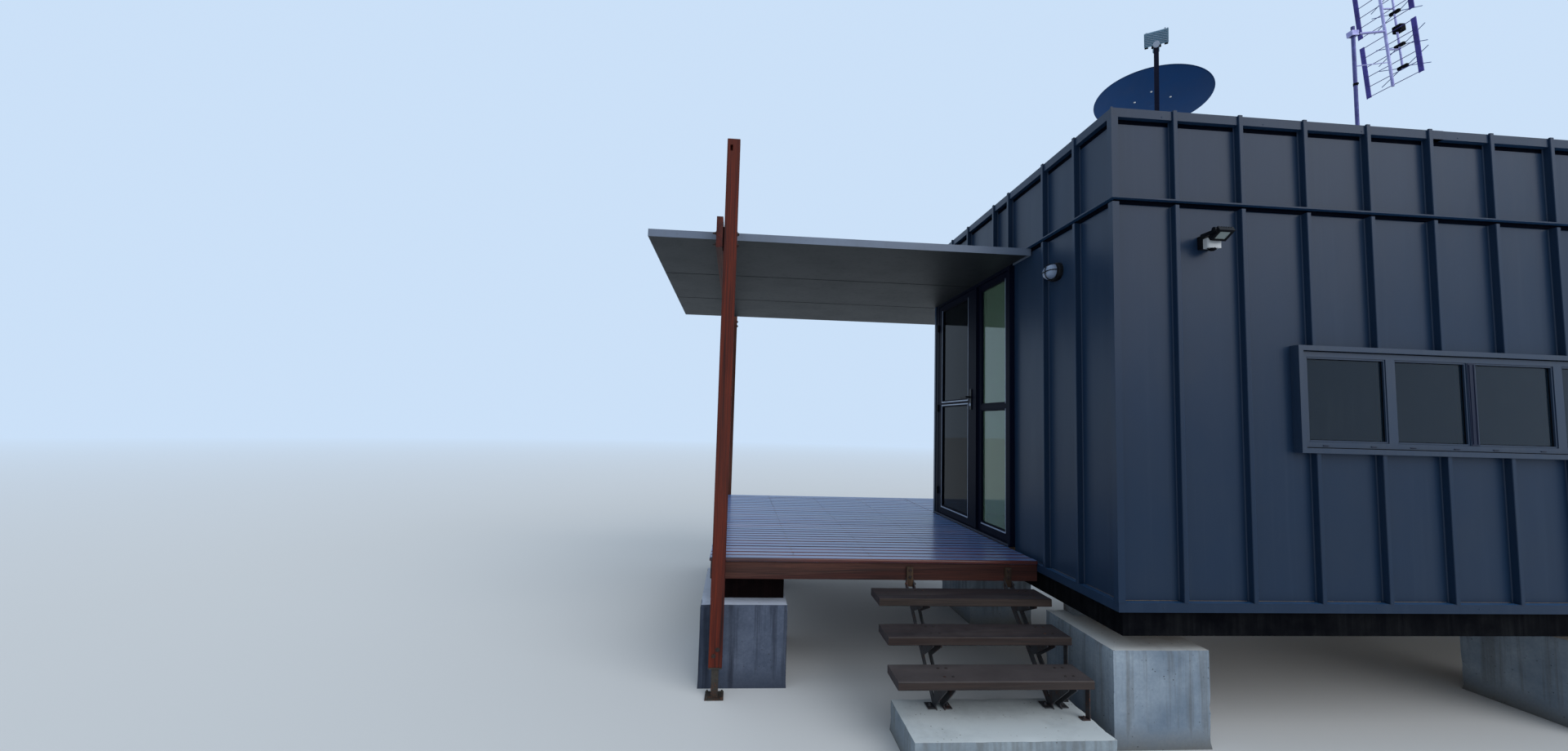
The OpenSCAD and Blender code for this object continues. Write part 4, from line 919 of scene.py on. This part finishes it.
def makeGlazing(s, frameName, glassName, body, tag, brightSides):
    beads, rubber, bright = emptyMeshes(3)
    outer, inner = [corner.x for corner in boxOf(frameName)]
    panes = solidBoxes(glassName, 2)
    e, strip, ease = s["edge"], s["strip"], s["ease"]
    x0, x1 = [outer + d for d in s["edgeIn"]]
    for lo, hi in panes:
        for near, glass, step in ((outer + s["beadBack"], lo.x - s["air"], -1),
                                  (inner - s["beadBack"], hi.x + s["air"], 1)):
            addPaneRings(beads, rubber, 0, (near, glass), (glass, glass + step * s["gasket"]), lo, hi, s)
        # painted highlights: thin bright strips along the edges of the glass
        if "far" in brightSides:
            addBlock(bright, (x0, hi.y - e, lo.z), (x1, hi.y, hi.z), ease)
        if "near" in brightSides:
            addBlock(bright, (x0, lo.y, lo.z), (x1, lo.y + e, hi.z), ease)
    # painted highlights: bright strips along the bottom rail and, on the leaf, the middle rail
    low, high = panes[0], panes[-1]
    levels = [(low[0].z - strip, low[0].z)]
    if "rail" in brightSides:
        levels += [(low[1].z, low[1].z + strip), (high[0].z - strip, high[0].z)]
    for z0, z1 in levels:
        addBlock(bright, (outer - s["stripOut"], low[0].y, z0), (outer + s["stripIn"], low[1].y, z1), ease)
    newPiece(tag + "Beads", beads, "door_alloy", body=body)
    newPiece(tag + "Gaskets", rubber, "rubber", body=body)
    newPiece(tag + "Edges", bright, "edgeAlloy", body=body)


def makeDoor(s):
    makeGlazing(s, "door_leaf", "door_leaf_glass", "door", "leaf", ("far", "near", "rail"))
    makeGlazing(s, "fixed_light_frame", "fixed_light_glass", "cabin", "light", ("near",))
    lock, nose = emptyMeshes(2)
    leaf, foot = boxOf("door_leaf"), boxOf("door_handle")[0].z
    y, half = leaf[0].y + s["lockSide"], s["keyWide"] / 2
    for x, d in ((leaf[0].x - s["lockOut"], -1), (leaf[1].x + s["lockOut"], 1)):
        addTurned(lock, (x, y, foot + s["lockUp"]), (d, 0, 0), s["lock"], s["lockSides"])
        a, b = sorted((x, x + d * s["keyOut"]))
        addBlock(lock, (a, y - half, foot + s["keyUp"][0]), (b, y + half, foot + s["keyUp"][1]))
    newPiece("doorLock", lock, "edgeAlloy", smooth=True, body="door")
    sill, short = boxOf("door_frame"), s["noseShort"]
    addBlock(nose, (sill[0].x - s["noseOut"], sill[0].y + short, s["nose"][0]),
             (sill[0].x, sill[1].y - short, s["nose"][1]), *s["noseEase"])
    newPiece("doorSillNose", nose, "stileCoat")
    print("door set glazed")


makeDoor(doorSettings)


# canopy

canopySettings = {
    "joint": 0.007, "proud": 0.0012, "jointIn": 0.001, "jointEase": 0.0004,
    "ribPitch": 0.2022, "ribHigh": 0.018, "ribWide": 0.034, "ribShort": (0.001, 0.012),
    "rivet": (0.0035, 0.002), "rivetFrom": 0.2, "rivetEvery": 0.45, "rivetStop": (0.05, 0.1),
    "returnEnd": 0.0295, "wallIn": 0.0002, "fold": 0.0037, "lip": 0.003, "lipHigh": 0.018, "lipShort": 0.01,
}


def makeCanopy(s):
    joints, ribs, rivets, trim = emptyMeshes(4)
    panels = solidBoxes("canopy_panels", 1)
    low, top = panels[0][0].z, panels[0][1].z
    for a, b in zip(panels, panels[1:]):
        y = (a[1].y + b[0].y) / 2
        addBlock(joints, (a[0].x, y - s["joint"] / 2, low - s["proud"]),
                 (a[1].x, y + s["joint"] / 2, low + s["jointIn"]), s["jointEase"])
    for lo, hi in panels:
        count = round((hi.y - lo.y) / s["ribPitch"])
        ends = (lo.x + s["ribShort"][0], hi.x - s["ribShort"][1])
        for k in range(count):
            addRib(ribs, 0, ends, lo.y + (k + 0.5) * (hi.y - lo.y) / count, top, s["ribWide"], s["ribHigh"])
    edge, wall = boxOf("canopy_trim"), -mid.x
    z = (edge[0].z + edge[1].z) / 2
    for x in evenly(edge[0].x + s["rivetFrom"], wall - s["rivetStop"][0], s["rivetEvery"]):
        for y, d in ((edge[0].y, -1), (edge[1].y, 1)):
            addPan(rivets, (x, y, z), (0, d, 0), *s["rivet"])
    for y in evenly(edge[0].y + s["rivetFrom"], edge[1].y - s["rivetStop"][1], s["rivetEvery"]):
        addPan(rivets, (edge[0].x, y, z), (-1, 0, 0), *s["rivet"])
    end, fold, foot = wall + s["returnEnd"], edge[0].y + s["fold"], edge[0].z
    addBlock(trim, (wall - s["wallIn"], edge[0].y, foot), (end, fold, edge[1].z))
    addBlock(trim, (end - s["lip"], fold, foot), (end, panels[-1][0].y - s["lipShort"], foot + s["lipHigh"]))
    newPiece("canopyJoints", joints, "rubber")
    newPiece("canopyRibs", ribs, "canopy_sheet")
    newPiece("canopyRivets", rivets, "canopy_trim", smooth=True)
    newPiece("canopyReturn", trim, "canopy_trim")
    print("canopy finished")


makeCanopy(canopySettings)


# roof and flashings

roofSettings = {
    "pitch": 0.24, "wide": 0.036, "high": 0.026, "ribShort": (0.12, 0.03),
    "screw": (0.006, 0.005), "screwRows": (0.22, 0.9, 1.58, 2.26),
    "rivet": (0.0034, 0.002), "every": 0.62, "capFrom": 0.3, "baseFrom": 0.25, "stop": 0.1, "capUp": 0.014,
    "covers": (0.335, 0.668), "coverWide": 0.075, "coverDeep": 0.146, "coverOut": 0.0012, "coverEase": 0.0006,
}


def addRivetRows(bm, box, axis, start, z, s):  # on the two faces of a box that run along x (0) or y (1)
    across = 1 - axis
    for side, face in ((-1, box[0][across]), (1, box[1][across])):
        for far in evenly(box[0][axis] + start, box[1][axis] - s["stop"], s["every"]):
            spot, out = [0, 0, z], [0, 0, 0]
            spot[axis], spot[across], out[across] = far, face, side
            addPan(bm, spot, out, *s["rivet"])


def makeRoof(s):
    ribs, fixings, covers = emptyMeshes(3)
    lo, hi = boxOf("roof_deck")
    count = int((hi.x - lo.x) / s["pitch"])
    for k in range(count):
        x = lo.x + (k + 0.5) * (hi.x - lo.x) / count
        addRib(ribs, 1, (lo.y + s["ribShort"][0], hi.y - s["ribShort"][1]), x, hi.z, s["wide"], s["high"])
        for y in s["screwRows"]:
            addPan(fixings, (x, lo.y + y, hi.z + s["high"]), (0, 0, 1), *s["screw"])
    cap, base, out = boxOf("parapet_capping"), boxOf("base_flashing"), s["coverOut"]
    for axis in (0, 1):
        addRivetRows(fixings, cap, axis, s["capFrom"], cap[0].z + s["capUp"], s)
    addRivetRows(fixings, base, 0, s["baseFrom"], (base[0].z + base[1].z) / 2, s)
    for f in s["covers"]:
        x = cap[0].x + f * (cap[1].x - cap[0].x)
        for y0, y1 in ((cap[0].y, cap[0].y + s["coverDeep"]), (cap[1].y - s["coverDeep"], cap[1].y)):
            addBlock(covers, (x, y0 - out, cap[0].z), (x + s["coverWide"], y1, cap[1].z + out),
                     s["coverEase"])
    newPiece("roofRibs", ribs, "roof_sheet")
    newPiece("claddingFixings", fixings, "cladding_steel", smooth=True)
    newPiece("cappingCovers", covers, "cladding_steel")
    print("roof and flashings finished")


makeRoof(roofSettings)


# lights

sideLightSettings = {
    "y": 0.656, "z": 2.775, "half": 0.022, "arc": 10,  # base, dome, ring and path: (x, radius or reach)
    "base": ((0.040, 0.058), (0.020, 0.058), (0.013, 0.055), (0.010, 0.050)),
    "dome": ((0.014, 0.047), (-0.004, 0.0465), (-0.018, 0.043), (-0.029, 0.036), (-0.036, 0.026),
             (-0.0395, 0.012)),
    "ring": ((0.012, 0.0535), (0.002, 0.0535)),
    "bar": 0.0032, "path": ((0.006, 1.0), (-0.020, 0.93), (-0.036, 0.70), (-0.0425, 0.36), (-0.0428, 0.0)),
    "screwX": 0.0205, "screwY": 0.068, "screw": (0.0045, 0.003),
}


def addOval(bm, s, rings):  # rounded oblongs joined in turn
    angles = [math.pi * k / s["arc"] - math.pi / 2 for k in range(s["arc"] + 1)]
    addLoft(bm, [[at(x, s["y"] + side * (s["half"] + r * math.cos(a)), s["z"] + side * r * math.sin(a))
                  for side in (1, -1) for a in angles] for x, r in rings])


def makeSideLight(s):
    base, dome, cage = emptyMeshes(3)
    addOval(base, s, s["base"])
    addOval(dome, s, s["dome"])
    addOval(cage, s, s["ring"])
    for across in (0, 1):
        reach = s["ring"][0][1] + (0 if across else s["half"])
        points = [(x, f * reach) for x, f in s["path"]]
        points += [(x, -d) for x, d in reversed(points[:-1])]
        spots = [at(x, s["y"] + (0 if across else d), s["z"] + (d if across else 0)) for x, d in points]
        for a, b in zip(spots, spots[1:]):
            addRod(cage, a, b, s["bar"])
    for dy in (-s["screwY"], s["screwY"]):
        addPan(cage, at(s["screwX"], s["y"] + dy, s["z"]), (-1, 0, 0), *s["screw"])
    newPiece("sideLightBase", base, "black_metal", "bulkhead_light", smooth=True)
    newPiece("sideLightDome", dome, "frostedDome", smooth=True)
    newPiece("sideLightCage", cage, "black_metal", smooth=True)
    print("side light made")


lampSettings = {
    "spot": (0.568, -0.0884, 2.828), "tilt": 60.0, "wide": 0.090, "long": 0.080, "deep": 0.028,
    "rim": 0.013, "glassIn": (0.0025, 0.0045), "trimIn": 0.004, "trimWide": 0.010, "trimOut": 0.0015,
    "trimBack": 0.003, "screwIn": 0.0045, "screw": (0.0022, 0.0022, 8), "lensSpot": (0.566, -0.024, 2.764),
    "lens": ((-0.002, 0.0185), (0.003, 0.0182), (0.008, 0.0165), (0.012, 0.0125), (0.0138, 0.006)),
    "knobs": (-0.026, 0.020), "knob": ((-0.001, 0.005), (0.004, 0.005), (0.005, 0.004)),
    "glassEase": 0.0004, "trimEase": 0.0006, "lensSides": 24, "knobSides": 12,
}


def makeLamp(s):
    glass, parts, lens = emptyMeshes(3)
    turn = Matrix.Translation(at(*s["spot"])) @ Matrix.Rotation(math.radians(s["tilt"]), 4, "X")
    w, l, d = s["wide"] / 2, s["long"] / 2, s["deep"] / 2
    gw, gl, tw, tl = w - s["rim"], l - s["rim"], w - s["trimIn"], l - s["trimIn"]
    addBlock(glass, (-gw, -d + s["glassIn"][0], -gl), (gw, -d + s["glassIn"][1], gl), s["glassEase"])
    addRing(parts, 1, -d - s["trimOut"], -d + s["trimBack"], (-tw, -tl), (tw, tl), s["trimWide"],
            s["trimEase"])
    for x in (-1, 1):
        for z in (-1, 1):
            addPan(parts, (x * (w - s["screwIn"]), -d, z * (l - s["screwIn"])), (0, -1, 0), *s["screw"])
    for bm in (glass, parts):
        bmesh.ops.transform(bm, matrix=turn, verts=bm.verts)
    x, y, z = s["lensSpot"]
    addTurned(lens, at(x, y, z), (0, 0, -1), s["lens"], s["lensSides"])
    for dx in s["knobs"]:
        addTurned(lens, at(x + dx, y, z), (0, 0, -1), s["knob"], s["knobSides"])
    newPiece("lampGlass", glass, "lampGlass")
    newPiece("lampTrim", parts, "black_metal", smooth=True)
    newPiece("sensorLens", lens, "rubber", smooth=True)
    print("flood light made")


makeSideLight(sideLightSettings)
makeLamp(lampSettings)


# dish and antenna

feedSettings = {  # in the feed's own frame: x across, y out of its face, z up
    "spot": (0.028, -0.180, 0.498), "lean": 25.81, "wide": 0.144, "high": 0.086, "face": -0.030,
    "sideIn": 0.006, "foot": 0.010, "headIn": 0.005,
    "fins": 9, "slope": -0.48, "thick": 0.0026, "taper": 0.6, "root": 0.0005, "out": 0.0035, "shortest": 0.01,
    "ears": ((-0.062, -0.052, 0.0065), (0.048, 0.056, 0.0115), (0.064, 0.071, 0.0065)),
    "earBack": (0.003, 0.012), "earEase": 0.001,
    "plug": ((0, 0.021), (0.004, 0.021), (0.0055, 0.0185)), "plugSpot": (0.001, 0.006), "plugSides": 24,
    "lugs": ((-0.070, -0.048, -0.010), (-0.029, -0.017, -0.018), (0.017, 0.029, -0.018),
             (0.048, 0.070, -0.010)),
    "lugDeep": 0.028, "lugTop": 0.001, "lugEase": 0.0015,
}


def addFeedDetail(fins, lugs, s):  # slanting fins on the outer face, ears above it and dark lugs below
    x1, z0, z1 = s["wide"] / 2 - s["sideIn"], s["foot"], s["high"] - s["headIn"]
    face, t, slope = s["face"], s["thick"] / 2, s["slope"]
    reach = -slope * x1
    root, tip = face + s["root"], face - s["out"]
    for k in range(s["fins"]):
        middle = z0 - reach + (k + 0.5) * (z1 - z0 + 2 * reach) / s["fins"]
        ends = []
        for x in (-x1, x1):
            z = middle + slope * x
            if z < z0:
                x, z = (z0 - middle) / slope, z0
            if z > z1:
                x, z = (z1 - middle) / slope, z1
            ends.append((x, z))
        if abs(ends[1][0] - ends[0][0]) >= s["shortest"]:
            thin = t * s["taper"]
            profile = ((root, -t), (tip, -thin), (tip, thin), (root, t))
            addLoft(fins, [[(x, y, z + dz) for y, dz in profile] for x, z in ends])
    near, far = [face + d for d in s["earBack"]]
    for x0, xa, rise in s["ears"]:
        addBlock(fins, (x0, near, s["high"]), (xa, far, s["high"] + rise), s["earEase"])
    addTurned(fins, (0, face + s["plugSpot"][0], s["plugSpot"][1]), (0, -1, 0), s["plug"], s["plugSides"])
    for x0, xa, low in s["lugs"]:
        addBlock(lugs, (x0, face, low), (xa, face + s["lugDeep"], s["lugTop"]), s["lugEase"])


dishSettings = {
    "centre": (1.062, 1.100, 4.329), "turn": 36.0, "lift": 31.0, "r": 0.400, "deep": 0.080,
    "tube": 0.0032, "tubeIn": 0.002, "tubeDown": 0.001, "tubeSides": 8, "sides": 72,
    "boltR": 0.0085, "boltSink": 0.001, "bolts": ((-0.115, 0.070), (0.0, 0.160), (0.125, 0.040), (0.04, -0.06)),
    "boltHead": ((0, 1), (0.003, 0.9), (0.005, 0.5)), "boltSides": 14,  # up in metres, out as a share of boltR
}


def makeDish(s, feed):
    rim, bolts, fins, lugs = emptyMeshes(4)
    spot = (Matrix.Translation(at(*s["centre"])) @ Matrix.Rotation(math.radians(-s["turn"]), 4, "Z")
            @ Matrix.Rotation(math.radians(90 - s["lift"]), 4, "X"))
    addFeedDetail(fins, lugs, feed)
    feedSpot = spot @ Matrix.Translation(feed["spot"]) @ Matrix.Rotation(math.radians(-feed["lean"]), 4, "X")
    loops, sides, n = [], s["sides"], s["tubeSides"]
    for k in range(sides):
        a = 2 * math.pi * k / sides
        out = Vector((math.cos(a), math.sin(a), 0))
        loop = []
        for j in range(n):
            b = 2 * math.pi * j / n
            up = Vector((0, 0, s["tube"] * math.sin(b) - s["tubeDown"]))
            loop.append(rim.verts.new(out * (s["r"] - s["tubeIn"] + s["tube"] * math.cos(b)) + up))
        loops.append(loop)
    for k in range(sides):
        a, b = loops[k], loops[(k + 1) % sides]
        for j in range(n):
            rim.faces.new((a[j], b[j], b[(j + 1) % n], a[(j + 1) % n]))
    ball = (s["r"] ** 2 + s["deep"] ** 2) / (2 * s["deep"])
    head = [(up, s["boltR"] * out) for up, out in s["boltHead"]]
    for x, y in s["bolts"]:
        z = ball - s["deep"] - math.sqrt(ball * ball - x * x - y * y)
        up = Vector((-x, -y, ball - s["deep"] - z)).normalized()
        addTurned(bolts, Vector((x, y, z)) - up * s["boltSink"], up, head, s["boltSides"])
    for bm, matrix in ((rim, spot), (bolts, spot), (fins, feedSpot), (lugs, feedSpot)):
        bmesh.ops.transform(bm, matrix=matrix, verts=bm.verts)
    newPiece("dishRim", rim, "dish_paint", smooth=True)
    newPiece("dishBolts", bolts, "light_plastic", smooth=True)
    newPiece("feedFins", fins, "feedFin")
    newPiece("feedLugs", lugs, "rubber")
    print("dish fitted")


antennaSettings = {
    "mast": (3.130, 1.400), "mastR": 0.014, "pivot": 5.205, "middle": 5.245, "lean": 5.7, "boom": 3.435,
    "feed": 0.110, "places": (-0.345, -0.150, 0.150, 0.345), "holder": (-0.001, 0.024, 0.038, 0.014),
    "box": (0.0, 0.055, 0.034, 0.032), "clampDrops": (-0.030, -0.012), "clampLow": 0.030, "clampR": 0.021,
    "clampOut": 0.034, "clampSteps": 10, "rod": 0.004, "nutOut": 0.030, "nut": (0.0065, 0.008),
    "bands": (4.739, 3.95), "bandThick": 0.002, "bandHigh": 0.022, "lug": (0.006, 0.010, 0.003, 0.019),
    "holderEase": (0.003, 2), "boxEase": (0.006, 2), "lugEase": 0.001, "bandSides": 20,
}


def makeAntenna(s):
    dark, clamp = emptyMeshes(2)
    mx, my = s["mast"]
    pivot = Matrix.Translation(at(mx, my, s["pivot"]))
    lean = pivot @ Matrix.Rotation(math.radians(-s["lean"]), 4, "Y") @ pivot.inverted()
    x = s["boom"] + s["feed"]

    def addHolder(z, size, ease):  # size: from x, to x, half its width, half its height
        near, far, w, h = size
        addBlock(dark, at(x + near, my - w, z - h), at(x + far, my + w, z + h), *ease)

    for p in s["places"]:
        addHolder(s["middle"] + p, s["holder"], s["holderEase"])
    addHolder(s["middle"], s["box"], s["boxEase"])
    r, out, steps = s["clampR"], mx + s["clampOut"], s["clampSteps"]
    for dz in s["clampDrops"]:
        z = s["middle"] - s["clampLow"] + dz
        bends = [math.pi * k / steps for k in range(1, steps)]
        spots = [at(out, my - r, z), at(mx, my - r, z)]
        spots += [at(mx - r * math.sin(a), my - r * math.cos(a), z) for a in bends]
        spots += [at(mx, my + r, z), at(out, my + r, z)]
        for a, b in zip(spots, spots[1:]):
            addRod(clamp, a, b, s["rod"])
        for side in (-r, r):
            addBolt(clamp, at(mx + s["nutOut"], my + side, z), (1, 0, 0), *s["nut"])
    for bm in (dark, clamp):
        bmesh.ops.transform(bm, matrix=lean, verts=bm.verts)
    band, (w, deep, low, high) = s["mastR"] + s["bandThick"], s["lug"]
    for z in s["bands"]:
        addTurned(dark, at(mx, my, z), (0, 0, 1), [(0, band), (s["bandHigh"], band)], s["bandSides"])
        back = my - s["mastR"]
        addBlock(dark, at(mx - w, back - deep, z + low), at(mx + w, back, z + high), s["lugEase"])
    newPiece("antennaInsulators", dark, "rubber")
    newPiece("antennaClamps", clamp, "mastAlloy", smooth=True)
    print("antenna fitted")


makeDish(dishSettings, feedSettings)
makeAntenna(antennaSettings)


# floor

floorSettings = {"size": 90.0, "colour": (0.70, 0.73, 0.76, 1.0), "patch": (0.6, 0.62, 0.64, 1.0),
                 "patchShare": 0.06, "patchGrain": (0.6, 3.0, 0.5), "rough": 0.9, "gloss": 0.1,
                 "fadeFrom": 9.0, "fadeTo": 45.0}


def makeFloor(s):
    bm = bmesh.new()
    bmesh.ops.create_grid(bm, x_segments=2, y_segments=2, size=s["size"])
    mesh = bpy.data.meshes.new("floor")
    bm.to_mesh(mesh)
    bm.free()
    floor = bpy.data.objects.new("floor", mesh)
    scene.collection.objects.link(floor)
    mat, tree, shader = startFinish("paleFloor", {"Roughness": s["rough"], "Specular IOR Level": s["gloss"]})
    p = place(tree)
    patches = times(tree, grains(tree, p, *s["patchGrain"]), s["patchShare"])
    link(tree, mixed(tree, patches, s["colour"], s["patch"]), shader.inputs["Base Color"])
    far = put(tree, "VectorMath", {0: p}, operation="LENGTH").outputs["Value"]
    rays = put(tree, "LightPath").outputs["Is Camera Ray"]
    haze = times(tree, spread(tree, far, s["fadeFrom"], s["fadeTo"]), rays)
    glow = put(tree, "Emission", {"Color": viewSettings["backdrop"]})
    both = put(tree, "MixShader", {0: haze, 1: shader.outputs[0], 2: glow.outputs[0]})
    link(tree, both.outputs[0], tree.nodes["Material Output"].inputs[0])
    mesh.materials.append(mat)


makeFloor(floorSettings)
